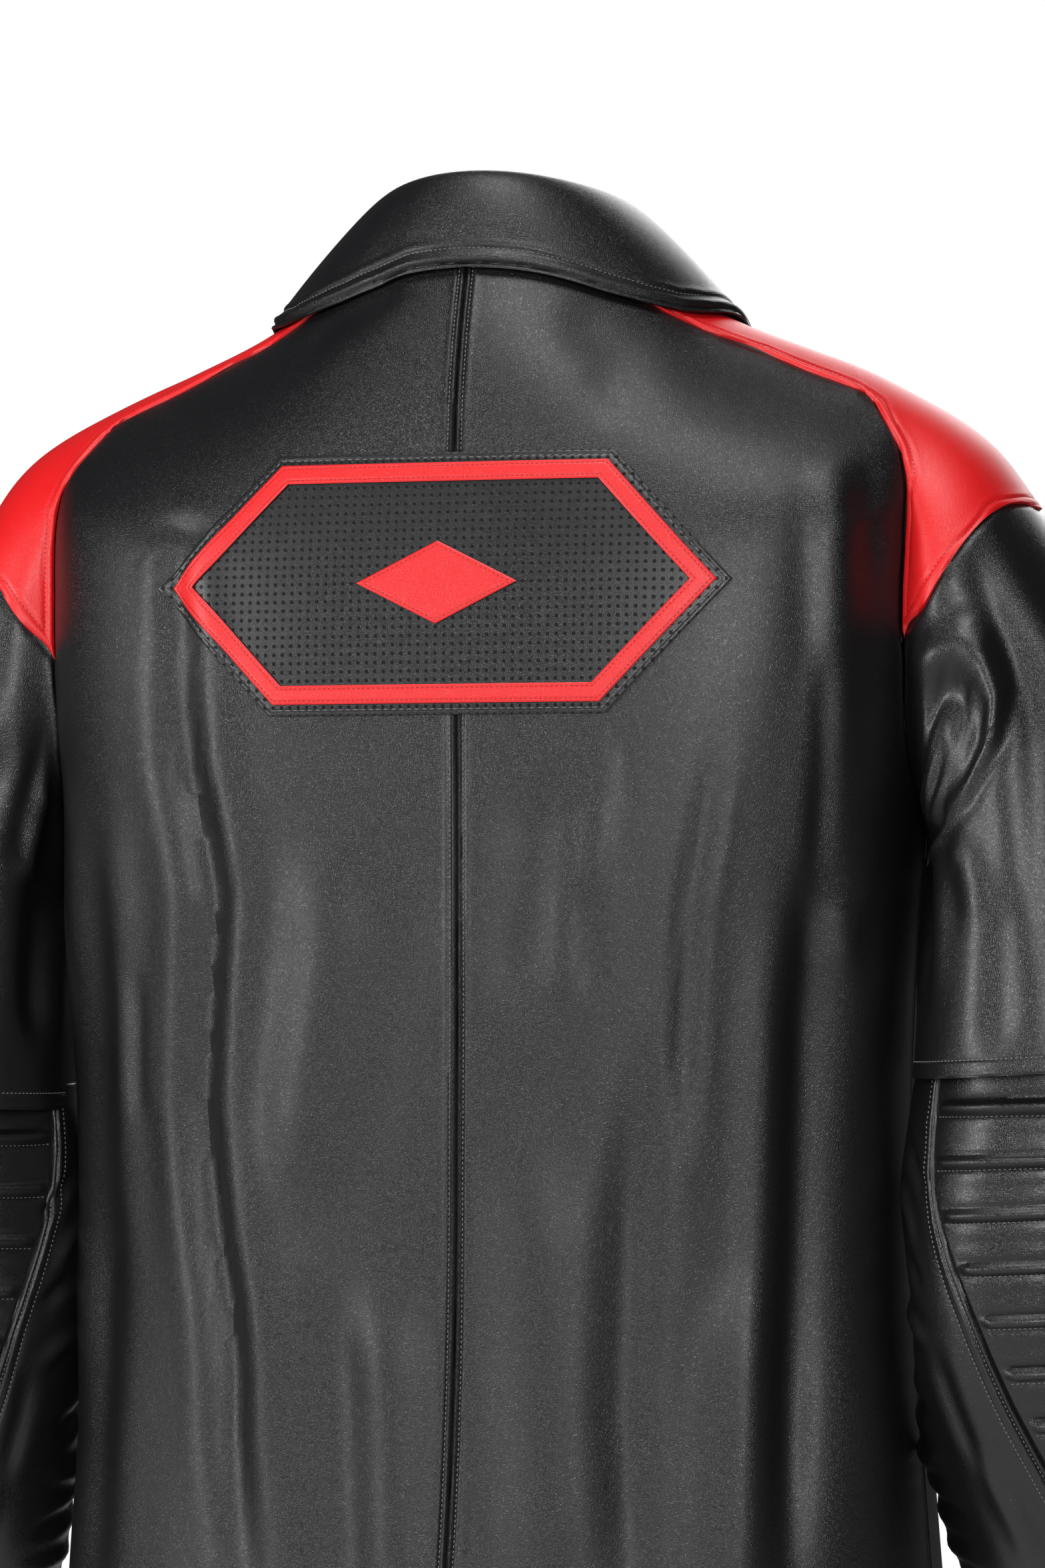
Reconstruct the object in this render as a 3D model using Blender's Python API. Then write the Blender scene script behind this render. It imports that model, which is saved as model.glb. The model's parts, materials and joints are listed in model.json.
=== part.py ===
"""Leather jacket with red saddle shoulders, worn out to its full form and hollow.

The front faces -Y and the wearer's left is +X. The origin is the middle of the neck opening
at the height of the nape, where the wearer's shoulders carry the jacket. Lengths in this file
are millimetres; the meshes are made in metres.

The body is one surface of stacked rings, the arms are rings strung from the armhole to the
cuff, and every leather piece is a thin wall cut out of one of those surfaces between its
seams. Angles run from 90 degrees at the middle of the back over 0 at the side to -90 at the
middle of the front. Round an arm they run from 0 on the outside over 90 behind to 180 at the
body.
"""
import math

import bpy
import numpy as np

MM = 0.001

# ---------------------------------------------------------------- driving sizes
LEATHER = 1.6           # wall of every garment panel
PATCH = 1.0             # wall of the pieces applied on the back
SEAM_GAP = 0.3          # air between two pieces that are sewn together
HEM_DROP = 776.0        # nape to hem
FOLDS_FADE = (-5.0, 40.0)   # folds behind come in between these depths from the side line

# Rings of the body. drop: length down the back from the neck seam; half_width, side_z: the
# ring at the side; back_y, back_z: at the middle of the back; front_y, front_z: at the middle
# of the front; squareness: 2 is an ellipse; sag: how far the ring dips between side and back.
BODY_COLUMNS = ("drop", "half_width", "side_z", "back_y", "back_z", "front_y", "front_z",
                "squareness", "sag")
BODY_RINGS = np.array((
    (0,   80,  -24,  74,  -10,  84,  -85, 2.0, 0),
    (30,  104, -42,  88,  -37,  96, -106, 2.1, 3),
    (60,  134, -58, 102,  -63, 107, -130, 2.3, 13),
    (100, 176, -75, 118, -100, 119, -163, 2.6, 21),
    (150, 218, -92, 132, -148, 131, -205, 3.0, 20),
    (200, 242, -116, 141, -197, 138, -246, 3.3, 12),
    (260, 246, -190, 146, -257, 143, -293, 3.4, 4),
    (340, 241, -320, 148, -337, 145, -356, 3.1, 0),
    (430, 232, -430, 147, -427, 145, -436, 2.8, 0),
    (550, 230, -549, 145, -546, 142, -549, 2.6, 0),
    (660, 236, -659, 146, -656, 142, -659, 2.6, 0),
    (776, 245, -776, 150, -772, 146, -776, 2.6, 0),
))

# The centre-back seam swings a little towards the wearer's right.
CENTRE_COLUMNS = ("drop", "shift")
CENTRE_SEAM = np.array(((0, 0), (100, -4), (260, -11), (520, -11), (680, -8), (776, -4)))

SIDE_SEAM_ANGLE = 5.0       # the side seams lie a little behind the middle of the side
ARMHOLE_BACK_ANGLE = {1: 27.0, -1: 24.5}    # how far each armhole reaches round the back
ARMHOLE_FRONT_ANGLE = 25.0  # and round the front
ARMHOLE_DROP = 237.0        # middle of the armhole
ARMHOLE_HALF = 103.0        # half its height, measured as drop
ARMHOLE_SQUARE = 2.8        # and how square it is
LEFT_SHOULDER_DROP = 5.0    # the left shoulder hangs this much lower

# Seam between the back or front and the red shoulder: angle from the side at each drop.
YOKE_COLUMNS = ("drop", "angle")
YOKE_SEAM = np.array(((0, 42), (30, 38), (43, 33), (56, 26), (72, 20.5), (100, 18.5), (140, 17)))
YOKE_CORNER = 39.0          # arm angle where that seam meets the armhole
SEAM_LEAN_FROM = (100.0, 165.0)     # arm angles between which the seam's normals lean out
CAP_TIP_ANGLE = 114.0       # the red piece ends in a point at this arm angle
CAP_DEPTH = 96.0            # and reaches this far down the outside of the arm
CAP_CURVE = 1.6             # higher is a squarer lower edge

# Upper sleeve: rings from the armhole to the free hem. reach: nominal length down the arm;
# out_x, out_z: the outside of the ring; in_x, in_z: the side next to the body; mid_y and
# half_y: centre and half depth from front to back.
UPPER_COLUMNS = ("reach", "out_x", "out_z", "in_x", "in_z", "mid_y", "half_y")
UPPER_RINGS = np.array((
    (40,  262, -119, 243, -345, 2, 88),
    (90,  296, -158, 244, -356, 6, 89),
    (150, 331, -216, 243, -372, 14, 87),
    (220, 357, -288, 242, -398, 25, 84),
    (300, 376, -372, 241, -432, 36, 81),
    (380, 388, -462, 240, -470, 46, 78),
))
SLEEVE_ROUND = 2.25

# Lower sleeve: rings from its seam inside the upper sleeve to the cuff.
LOWER_COLUMNS = ("reach", "mid_x", "mid_y", "mid_z", "half_x", "half_y")
LOWER_RINGS = np.array((
    (40,  310, 45, -477, 66, 68),
    (90,  303, 49, -527, 65, 66),
    (150, 301, 46, -586, 63, 65),
    (205, 302, 35, -640, 60, 62),
    (255, 309, 21, -689, 57, 58),
    (300, 318, 7, -732, 53, 54),
    (330, 323, -1, -760, 49, 51),
))
LOWER_SEAT = 335.0      # reach on the upper sleeve where the lower sleeve is sewn in
LOWER_SEAT_GAP = 1.2
LOWER_TUCK = 14.0       # just below its seam it has already drawn in by this much more
LOWER_TUCK_DEPTH = 4.0
CUFF_REACH = 330.0
RING_TILT = 0.05        # the rings rise towards the outside of the arm
LEFT_ARM_DROP = 20.0    # the left sleeve hangs this much lower
LEFT_ARM_DROP_OVER = 150.0
LEFT_ARM_TWIST = 24.0   # and its elbow panel is turned towards the body

# Elbow panel: from the seat down to a point on the forearm, with cords across it.
PANEL_COLUMNS = ("reach", "inner", "outer")     # arm angles of its two side seams
PANEL_SEAMS = np.array(((0, 142, -8), (50, 140, -4), (80, 134, 2), (120, 121, 14), (160, 107, 27),
                        (205, 92, 41), (245, 79, 52), (292, 64, 64)))
PANEL_POINT_REACH = 292.0
CORD_COUNT = 8
CORD_FIRST = 45.0
CORD_PITCH = 28.7
CORD_HALF = 5.0
CORD_HEIGHT = 3.2

# Collar: the fold line where the stand turns over into the fall, and the fall's lower edge.
FOLD_HALF_WIDTH = 62.0
FOLD_BACK_Y = 68.0
FOLD_FRONT_Y = 74.0
FOLD_SIDE_Z = 13.0
FOLD_BACK_Z = 20.0
FOLD_FRONT_Z = -52.0
FALL_COLUMNS = ("angle", "drop")
FALL_EDGE = np.array(((-66, 118), (-40, 84), (-15, 64), (0, 58), (25, 50), (45, 39), (65, 31), (90, 28)))
FALL_CLEAR = 3.0            # the fall's edge stands this far off the body
FALL_ROLL_OUT = 9.0         # the roll over the fold: how far out and up its guide point lies
FALL_ROLL_UP = 4.0
FALL_BULGE = 9.0            # and the fall's guide point: off the straight line to the edge
FALL_BULGE_AT = 0.55
FALL_ROWS = np.array((0.0, 0.08, 0.22, 0.45, 0.72, 1.0))
COLLAR_END_ANGLE = -86.0    # the stand and the fold stop short of the middle of the front

FRONT_LAP = 18.0            # each front reaches this far past the middle
LAP_DEPTH = LEATHER + 0.9   # the right front lies this far inside the left one
LAP_RISE = (44.0, 90.0)     # and comes level between these distances from the middle
LAP_NECK_DROP = 5.0         # the laps are cut this much lower at the neck

# Applied patch on the back: a hexagon with pointed ends, its middle below the neck seam.
PATCH_MIDDLE_Z = -207.0
PATCH_HALF_LENGTH = 158.0
PATCH_HALF_FLAT = 92.0
PATCH_HALF_HEIGHT = 70.0
PATCH_OFFSET = 0.7
PATCH_POINT_CUT = 1.0       # the points of a filled piece are cut off this much short
PATCH_SEGMENTS = (20, 6)    # along and across
BAND_SEGMENTS = (10, 5)     # along a long side and along a slanted one
DIAMOND_SEGMENTS = (6, 2)
BACK_RADIUS = 250.0         # rough radius of the back, for finding points on it
BACK_STEPS = 14
PATCH_EDGE = 6.0            # black edge outside the red band
BAND_WIDTH = 10.0
DIAMOND_HALF_LENGTH = 44.0
DIAMOND_HALF_HEIGHT = 22.0

STUD_COUNT = 6
STUD_FIRST_DROP = 40.0
STUD_PITCH = 128.0
STUD_SIDES = 12
# Columns: height above the front, radius.
STUD_PROFILE = np.array(((0.5, 7.5), (1.3, 7.5), (2.6, 6.0), (3.1, 3.0)))

# Folds of the body, as straight creases with a soft round section. A negative height is a
# trough. x is positive on the wearer's left.
# Columns: top_x, top_z, low_x, low_z, width, height.
BACK_FOLDS = np.array((
    (150, -200, 104, -800, 17, -7),
    (196, -290, 188, -560, 13, 4),
    (-88, -262, -90, -480, 16, 2.5),
    (-146, -290, -134, -520, 9, -3.5),
    (-207, -330, -191, -800, 16, -7),
    (-221, -130, -217, -270, 10, -5),
    (30, -560, 20, -800, 26, 3),
    (-40, -480, -60, -760, 30, 3),
))
FRONT_FOLDS = np.array((
    (112, -240, 92, -800, 20, -6),
    (176, -330, 170, -700, 15, 4),
    (-96, -300, -120, -800, 18, -6),
    (-190, -260, -182, -620, 16, -5),
    (52, -430, 44, -800, 18, 3),
))
# Folds of the sleeves: arm angle and reach of both ends, half width in degrees, height.
# Columns: top_angle, top_reach, low_angle, low_reach, width, height.
UPPER_FOLDS = np.array((
    (118, 40, 150, 330, 14, -7),
    (86, 90, 60, 300, 16, 4),
    (200, 60, 215, 330, 16, -6),
    (290, 80, 262, 320, 18, -5),
    (20, 160, 350, 380, 20, 4),
))
LOWER_FOLDS = np.array((
    (180, 60, 150, 190, 14, -3.5),
    (205, 130, 180, 270, 14, 3),
    (290, 60, 240, 190, 16, -4),
    (330, 150, 280, 280, 16, 3),
))

# Segments. Pieces that meet at a seam have the same number along it.
NECK_BACK_SEGMENTS = 5
NECK_FRONT_SEGMENTS = 4
YOKE_SEGMENTS = 7
CAP_SEGMENTS = 8
CAP_COLUMNS = 12
UNDERARM_SEGMENTS = 8
SIDE_SEGMENTS = 12
UPPER_SEGMENTS = 9
ELBOW_SEGMENTS = 7
LOWER_SEGMENTS = 16

BLACK_LEATHER = ("black_leather", (0.012, 0.012, 0.014), 0.38)
RED_LEATHER = ("red_leather", (0.62, 0.012, 0.012), 0.35)
PERFORATED = ("perforated_leather", (0.010, 0.010, 0.012), 0.5)
STUD_METAL = ("stud_metal", (0.04, 0.04, 0.045), 0.3)

LEFT, RIGHT = 1, -1
ANGLE_STEP = 1.0        # steps for a surface's slopes
ALONG_STEP = 0.5


# ---------------------------------------------------------------- tables and curves
def column(table, names, name):
    """One named column of a table."""
    return table[:, names.index(name)]


def smooth(table, names, name, at):
    """A named column at the given first-column values, on a smooth curve through the rows."""
    x = table[:, 0]
    return hermite(x, column(table, names, name), at)


def hermite(x, y, at):
    """A cubic curve through the knots (x, y), whose slopes are the mean slopes either side."""
    slope = np.gradient(y, x, axis=0)
    k = np.clip(np.searchsorted(x, at, side="right") - 1, 0, len(x) - 2)
    width = x[k + 1] - x[k]
    t = (at - x[k]) / width
    if y.ndim > 1:
        t = t[..., None]
        width = width[..., None]
    near, far = y[k], y[k + 1]
    return (near * (1 + 2 * t) * (1 - t) ** 2 + far * t * t * (3 - 2 * t)
            + slope[k] * width * t * (1 - t) ** 2 - slope[k + 1] * width * t * t * (1 - t))


def ease(low, high, value):
    """0 below low, 1 above high, with a soft start and end."""
    t = np.clip((value - low) / (high - low), 0.0, 1.0)
    return t * t * (3.0 - 2.0 * t)


def unit(vectors):
    """The vectors at length one."""
    return vectors / np.linalg.norm(vectors, axis=-1, keepdims=True)


def superellipse(angle, squareness):
    """Cosine and sine, pushed out towards the corners: 2 leaves the circle as it is."""
    c, s = np.cos(np.radians(angle)), np.sin(np.radians(angle))
    g = (np.abs(c) ** squareness + np.abs(s) ** squareness) ** (-1.0 / squareness)
    return c * g, s * g


CREASE_FADE = 0.18      # share of a crease's length over which each end dies away


def crease(along_top, across_top, along_low, across_low, along, across, width, height):
    """A straight crease in a plane (across, along): a round section, faded at both ends."""
    t = (along - along_top) / (along_low - along_top)
    centre = across_top + (across_low - across_top) * np.clip(t, 0.0, 1.0)
    fade = ease(0.0, CREASE_FADE, t) * (1.0 - ease(1.0 - CREASE_FADE, 1.0, t))
    return height * fade * np.exp(-((across - centre) / width) ** 2)


# ---------------------------------------------------------------- the body's surface
def body_folds(points):
    """Height of the folds at points of the smooth body."""
    x, y, z = points[..., 0], points[..., 1], points[..., 2]
    height = np.zeros(x.shape)
    for folds, facing in ((BACK_FOLDS, 1), (FRONT_FOLDS, -1)):
        shown = ease(*FOLDS_FADE, facing * y)
        for top_x, top_z, low_x, low_z, width, fold in folds:
            height += shown * crease(top_z, top_x, low_z, low_x, z, x, width, fold)
    return height


def smooth_body(side, angle, drop):
    """The body without its folds, at an angle round it and a drop down it."""
    c, s = superellipse(angle, smooth(BODY_RINGS, BODY_COLUMNS, "squareness", drop))
    half_width = smooth(BODY_RINGS, BODY_COLUMNS, "half_width", drop)
    back_y = smooth(BODY_RINGS, BODY_COLUMNS, "back_y", drop)
    front_y = smooth(BODY_RINGS, BODY_COLUMNS, "front_y", drop)
    side_z = smooth(BODY_RINGS, BODY_COLUMNS, "side_z", drop)
    back_z = smooth(BODY_RINGS, BODY_COLUMNS, "back_z", drop)
    front_z = smooth(BODY_RINGS, BODY_COLUMNS, "front_z", drop)
    sag = smooth(BODY_RINGS, BODY_COLUMNS, "sag", drop)
    behind = np.sin(np.radians(angle)) >= 0
    toward = np.sin(np.radians(angle)) ** 2
    middle_z = np.where(behind, back_z, front_z)
    z = side_z * (1 - toward) + middle_z * toward - sag * np.sin(np.radians(2 * angle)) ** 2
    x = side * half_width * c
    z = z - LEFT_SHOULDER_DROP * ease(60.0, 230.0, x) * (1.0 - ease(200.0, 430.0, drop))
    return np.stack((x, np.where(behind, back_y, front_y) * s, z), axis=-1)


def body(side, angle, drop):
    """The body with its folds."""
    points, out = surface(smooth_body, side, angle, drop)
    return points + out * body_folds(points)[..., None]


def surface(shape, side, angle, along):
    """Points of a surface and its outward normals."""
    angle, along = np.broadcast_arrays(np.asarray(angle, float), np.asarray(along, float))
    points = shape(side, angle, along)
    round_it = shape(side, angle + ANGLE_STEP, along) - shape(side, angle - ANGLE_STEP, along)
    down_it = shape(side, angle, along + ALONG_STEP) - points
    return points, unit(np.cross(down_it, round_it)) * side


# ---------------------------------------------------------------- the arms' surfaces
def armhole(side, arm_angle):
    """Body angle and drop of the armhole seam at an arm angle."""
    c, s = superellipse(arm_angle, ARMHOLE_SQUARE)
    reach = np.where(s >= 0, ARMHOLE_BACK_ANGLE[side], ARMHOLE_FRONT_ANGLE)
    return reach * s + SIDE_SEAM_ANGLE * (1 - c) / 2, ARMHOLE_DROP - ARMHOLE_HALF * c


def arm_folds(folds, arm_angle, reach):
    """Height of the folds on an arm."""
    height = np.zeros(np.shape(reach))
    for top_angle, top_reach, low_angle, low_reach, width, fold in folds:
        for turn in (-360.0, 0.0, 360.0):
            height = height + crease(top_reach, top_angle + turn, low_reach, low_angle + turn,
                                     reach, arm_angle % 360.0, width, fold)
    return height


def string_rings(reaches, rings, reach):
    """Points at a reach along the arm, on smooth lines through rings of matching points."""
    slope = np.gradient(rings, reaches, axis=0)
    k = np.clip(np.searchsorted(reaches, reach, side="right") - 1, 0, len(reaches) - 2)
    width = (reaches[k + 1] - reaches[k])[..., None]
    t = (reach - reaches[k])[..., None] / width
    pick = tuple(np.indices(reach.shape))
    near, far = rings[(k,) + pick], rings[(k + 1,) + pick]
    near_slope, far_slope = slope[(k,) + pick], slope[(k + 1,) + pick]
    return (near * (1 + 2 * t) * (1 - t) ** 2 + far * t * t * (3 - 2 * t)
            + near_slope * width * t * (1 - t) ** 2 - far_slope * width * t * t * (1 - t))


def arm_drop(side, reach):
    """How much lower this arm hangs at a reach."""
    return LEFT_ARM_DROP * ease(0.0, LEFT_ARM_DROP_OVER, reach) if side == LEFT else 0.0 * reach


def smooth_upper(side, arm_angle, reach):
    """The upper sleeve without folds."""
    c, s = superellipse(arm_angle, SLEEVE_ROUND)
    rings = [body(side, *armhole(side, arm_angle))]
    for _, out_x, out_z, in_x, in_z, mid_y, half_y in UPPER_RINGS:
        rings.append(np.stack((side * ((out_x + in_x) / 2 + (out_x - in_x) / 2 * c),
                               mid_y + half_y * s,
                               (out_z + in_z) / 2 + (out_z - in_z) / 2 * c), axis=-1))
    reaches = np.concatenate(([0.0], column(UPPER_RINGS, UPPER_COLUMNS, "reach")))
    points = string_rings(reaches, np.array(rings), reach)
    points[..., 2] -= arm_drop(side, reach)
    return points


def upper(side, arm_angle, reach):
    """The upper sleeve with its folds."""
    points, out = surface(smooth_upper, side, arm_angle, reach)
    return points + out * arm_folds(UPPER_FOLDS, arm_angle, reach)[..., None]


def smooth_lower(side, arm_angle, reach):
    """The lower sleeve without folds: its first ring lies against the upper sleeve."""
    c, s = superellipse(arm_angle, SLEEVE_ROUND)
    rings = []
    for reach_below, draw_in in ((0.0, 0.0), (LOWER_TUCK, LOWER_TUCK_DEPTH)):
        level = np.full(np.shape(arm_angle), LOWER_SEAT + reach_below)
        seat, out = surface(upper, side, arm_angle, level)
        rings.append(seat - out * (LEATHER + LOWER_SEAT_GAP + draw_in))
    for _, mid_x, mid_y, mid_z, half_x, half_y in LOWER_RINGS:
        height = mid_z + RING_TILT * half_x * c - (LEFT_ARM_DROP if side == LEFT else 0.0)
        rings.append(np.stack((side * (mid_x + half_x * c), mid_y + half_y * s, height), axis=-1))
    reaches = np.concatenate(([0.0, LOWER_TUCK], column(LOWER_RINGS, LOWER_COLUMNS, "reach")))
    return string_rings(reaches, np.array(rings), reach)


def lower(side, arm_angle, reach):
    """The lower sleeve with its folds."""
    points, out = surface(smooth_lower, side, arm_angle, reach)
    return points + out * arm_folds(LOWER_FOLDS, arm_angle, reach)[..., None]


def seam_normals(side, arm_angle):
    """Normals along the armhole, the same for both pieces that meet there.

    They are the mean of the body's and the arm's, leaned away from the armhole's middle under
    the arm, where those two nearly face each other.
    """
    ring = body(side, *armhole(side, np.linspace(0.0, 345.0, 24)))
    edge, body_out = surface(body, side, *armhole(side, arm_angle))
    _, arm_out = surface(upper, side, arm_angle, np.zeros(np.shape(arm_angle)))
    lean = ease(*SEAM_LEAN_FROM, np.abs(arm_angle))[:, None]
    return unit(body_out + arm_out + lean * unit(edge - ring.mean(axis=0)))


# ---------------------------------------------------------------- walls
def add_piece(name, vertices, faces, material):
    """An object from points in millimetres, turned inside in if its faces point inwards."""
    vertices = np.asarray(vertices, float) * MM
    volume = 0.0
    for face in faces:
        for k in range(1, len(face) - 1):
            a, b, c = vertices[face[0]], vertices[face[k]], vertices[face[k + 1]]
            volume += np.dot(a, np.cross(b, c))
    if volume < 0:
        faces = [face[:1] + face[:0:-1] for face in faces]
    mesh = bpy.data.meshes.new(name)
    mesh.from_pydata(vertices.tolist(), [], faces)
    mesh.validate()
    mesh.shade_smooth()
    mesh.set_sharp_from_angle(angle=math.radians(40))
    mesh.materials.append(material)
    piece = bpy.data.objects.new(name, mesh)
    bpy.context.scene.collection.objects.link(piece)
    return piece


def inset(grid, edges):
    """Draws the named edges of a grid of points in by half a seam gap."""
    grid = grid.copy()
    half = SEAM_GAP / 2
    if "first_column" in edges:
        grid[0] += half * unit(grid[1] - grid[0])
    if "last_column" in edges:
        grid[-1] += half * unit(grid[-2] - grid[-1])
    if "top" in edges:
        grid[:, 0] += half * unit(grid[:, 1] - grid[:, 0])
    if "bottom" in edges:
        grid[:, -1] += half * unit(grid[:, -2] - grid[:, -1])
    return grid


def wall(name, outer, out, material, thickness=LEATHER, edges=(), closed=False, plain=None):
    """A wall between a grid of points and the same grid moved in along its normals.

    edges names the sides that are sewn to another piece; closed joins the last column to the
    first; plain is the grid that the inside follows where the outside is raised.
    """
    inner = (outer if plain is None else plain) - out * thickness
    outer, inner = inset(outer, edges), inset(inner, edges)
    columns, rows = outer.shape[:2]
    count = columns * rows
    spans = columns if closed else columns - 1
    faces, rim = [], []

    def at(i, j, layer=0):
        return layer * count + (i % columns) * rows + j

    for i in range(spans):
        for j in range(rows - 1):
            faces.append((at(i, j), at(i + 1, j), at(i + 1, j + 1), at(i, j + 1)))
            faces.append((at(i, j, 1), at(i, j + 1, 1), at(i + 1, j + 1, 1), at(i + 1, j, 1)))
        rim.append((at(i + 1, 0), at(i, 0)))
        rim.append((at(i, rows - 1), at(i + 1, rows - 1)))
    if not closed:
        end = columns - 1
        for j in range(rows - 1):
            rim.append((at(0, j), at(0, j + 1)))
            rim.append((at(end, j + 1), at(end, j)))
    vertices = np.concatenate((outer.reshape(-1, 3), inner.reshape(-1, 3)))
    for a, b in rim:
        # A face's first corner starts its diagonal: the shorter one is the same in both pieces
        # that meet at a seam.
        near = np.linalg.norm(vertices[a] - vertices[b + count])
        far = np.linalg.norm(vertices[b] - vertices[a + count])
        faces.append((a, b, b + count, a + count) if near < far else (b, b + count, a + count, a))
    return add_piece(name, vertices, faces, material)


# ---------------------------------------------------------------- seams, as angles and drops
def yoke_points(side, facing):
    """The seam along the red shoulder, from the neck to the armhole, behind or in front."""
    end_angle, end_drop = armhole(side, facing * YOKE_CORNER)
    drop = np.linspace(0.0, end_drop, YOKE_SEGMENTS + 1)
    angle = facing * smooth(YOKE_SEAM, YOKE_COLUMNS, "angle", drop)
    return angle + (drop / end_drop) ** 4 * (end_angle - angle[-1]), drop


def armhole_arm_angles(facing):
    """Arm angles of the armhole's points: along the red cap, then down to the underarm."""
    cap = np.linspace(YOKE_CORNER, CAP_TIP_ANGLE, CAP_SEGMENTS + 1)
    under = np.linspace(CAP_TIP_ANGLE, 180.0, UNDERARM_SEGMENTS + 1)
    return facing * np.concatenate((cap, under[1:]))


def side_drops():
    """Drops of the side seam's points, from the underarm to the hem."""
    top = ARMHOLE_DROP + ARMHOLE_HALF
    return np.linspace(top, HEM_DROP, SIDE_SEGMENTS + 1)[1:]


def blend(first, last, top, bottom):
    """A patch of (angle, drop) pairs stretched between its four edges."""
    u = np.linspace(0.0, 1.0, len(top))[:, None, None]
    v = np.linspace(0.0, 1.0, len(first))[None, :, None]
    along = (1 - u) * first[None] + u * last[None]
    across = (1 - v) * top[:, None] + v * bottom[:, None]
    corners = ((1 - u) * (1 - v) * first[0] + u * (1 - v) * last[0]
               + (1 - u) * v * first[-1] + u * v * last[-1])
    return along + across - corners


def panel_grid(side, facing):
    """Angles and drops of a back (facing 1) or front (facing -1) panel, from its middle edge."""
    yoke_angle, yoke_drop = yoke_points(side, facing)
    seam_angle, seam_drop = armhole(side, armhole_arm_angles(facing))
    drops = side_drops()
    seam = np.full(len(drops), SIDE_SEAM_ANGLE)
    last = np.stack((np.concatenate((seam_angle, seam)), np.concatenate((seam_drop, drops))), axis=-1)
    above = np.linspace(0.0, drops[0], len(seam_drop) + 1)[:-1]
    middle_drop = np.concatenate((above, drops))
    half_width = smooth(BODY_RINGS, BODY_COLUMNS, "half_width", middle_drop)
    if facing == 1:
        segments = NECK_BACK_SEGMENTS
        shift = smooth(CENTRE_SEAM, CENTRE_COLUMNS, "shift", middle_drop)
        middle_angle = 90.0 - side * np.degrees(np.arcsin(shift / half_width))
    else:
        segments = NECK_FRONT_SEGMENTS
        middle_angle = -90.0 - np.degrees(np.arcsin(FRONT_LAP / half_width))
        middle_drop[0] = LAP_NECK_DROP
    if facing == 1:
        neck_angle = np.linspace(middle_angle[0], yoke_angle[0], segments + 1)[:-1]
    else:
        neck_angle = np.linspace(COLLAR_END_ANGLE, yoke_angle[0], segments)[:-1]
        neck_angle = np.concatenate((middle_angle[:1], neck_angle))
    top = np.stack((np.concatenate((neck_angle, yoke_angle)),
                    np.concatenate((np.zeros(segments), yoke_drop))), axis=-1)
    first = np.stack((middle_angle, middle_drop), axis=-1)
    top[0] = first[0]
    bottom = np.linspace(first[-1], last[-1], len(top))
    return blend(first, last, top, bottom)


def body_panel(name, side, facing, material):
    """A back or front panel."""
    grid = panel_grid(side, facing)
    angle, drop = grid[..., 0], grid[..., 1]
    points, out = surface(body, side, angle, drop)
    seam = slice(0, CAP_SEGMENTS + UNDERARM_SEGMENTS + 1)
    out[-1, seam] = seam_normals(side, armhole_arm_angles(facing))
    edges = ("first_column", "last_column", "top")
    if facing == -1:
        edges = ("last_column", "top")
        if side == RIGHT:
            under = 1.0 - ease(*LAP_RISE, side * points[..., 0])
            points = points - out * (LAP_DEPTH * under)[..., None]
    return wall(name, points, out, material, edges=edges)


# ---------------------------------------------------------------- red shoulder and sleeves
def cap_edge(arm_angle):
    """Reach of the red piece's lower edge at an arm angle, 0 past its points."""
    t = np.minimum(np.abs(arm_angle) / CAP_TIP_ANGLE, 1.0)
    return CAP_DEPTH * (1.0 - t ** CAP_CURVE)


def shoulder(name, side, material):
    """The red piece, from the neck over the shoulder and the sleeve cap to its lower edge."""
    across = np.linspace(1.0, -1.0, CAP_COLUMNS + 1)
    corner = across * YOKE_CORNER
    back_angle, back_drop = yoke_points(side, 1)
    front_angle, _ = yoke_points(side, -1)
    end_angle, end_drop = armhole(side, corner)
    points, normals = [], []
    for row in range(YOKE_SEGMENTS + 1):
        share = back_drop[row] / back_drop[-1]
        edge = np.where(across >= 0, back_angle[row], front_angle[row])
        end = np.where(across >= 0, back_angle[-1], front_angle[-1])
        place, out = surface(body, side, edge * end_angle / end, share * end_drop)
        points.append(place)
        normals.append(out)
    cap_angles = np.linspace(YOKE_CORNER, CAP_TIP_ANGLE, CAP_SEGMENTS + 1)[1:]
    lean = np.ones(CAP_COLUMNS + 1, bool)
    lean[1:-1] = False
    for row, edge_angle in enumerate(cap_angles):
        share = (row + 1) / CAP_SEGMENTS
        arm = edge_angle * across
        place, out = surface(upper, side, arm, share * cap_edge(CAP_TIP_ANGLE * across))
        out[lean] = seam_normals(side, arm[lean])
        points.append(place)
        normals.append(out)
    corner_row = YOKE_SEGMENTS
    _, arm_out = surface(upper, side, corner, np.zeros(len(corner)))
    normals[corner_row] = unit(normals[corner_row] + arm_out)
    normals[corner_row][lean] = seam_normals(side, corner[lean])
    grid = np.array(points).transpose(1, 0, 2)
    out = np.array(normals).transpose(1, 0, 2)
    return wall(name, grid, out, material, edges=("first_column", "last_column", "top", "bottom"))


def upper_sleeve(name, side, material):
    """The short sleeve, a tube from the red piece and the armhole to its free hem."""
    cap = np.linspace(CAP_TIP_ANGLE, -CAP_TIP_ANGLE, CAP_COLUMNS + 1)
    under = np.linspace(CAP_TIP_ANGLE, 180.0, UNDERARM_SEGMENTS + 1)
    angles = np.concatenate((cap, -under[1:], under[-2:0:-1]))
    start = cap_edge(angles)
    share = np.linspace(0.0, 1.0, UPPER_SEGMENTS)
    reach = start[:, None] + (LOWER_SEAT - start[:, None]) * share
    reach = np.append(reach, np.full((len(angles), 1), UPPER_RINGS[-1, 0]), axis=1)
    arm = np.broadcast_to(angles[:, None], reach.shape)
    points, out = surface(upper, side, arm, reach)
    seam = start == 0.0
    out[seam, 0] = seam_normals(side, angles[seam])
    return wall(name, points, out, material, edges=("top",), closed=True)


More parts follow.
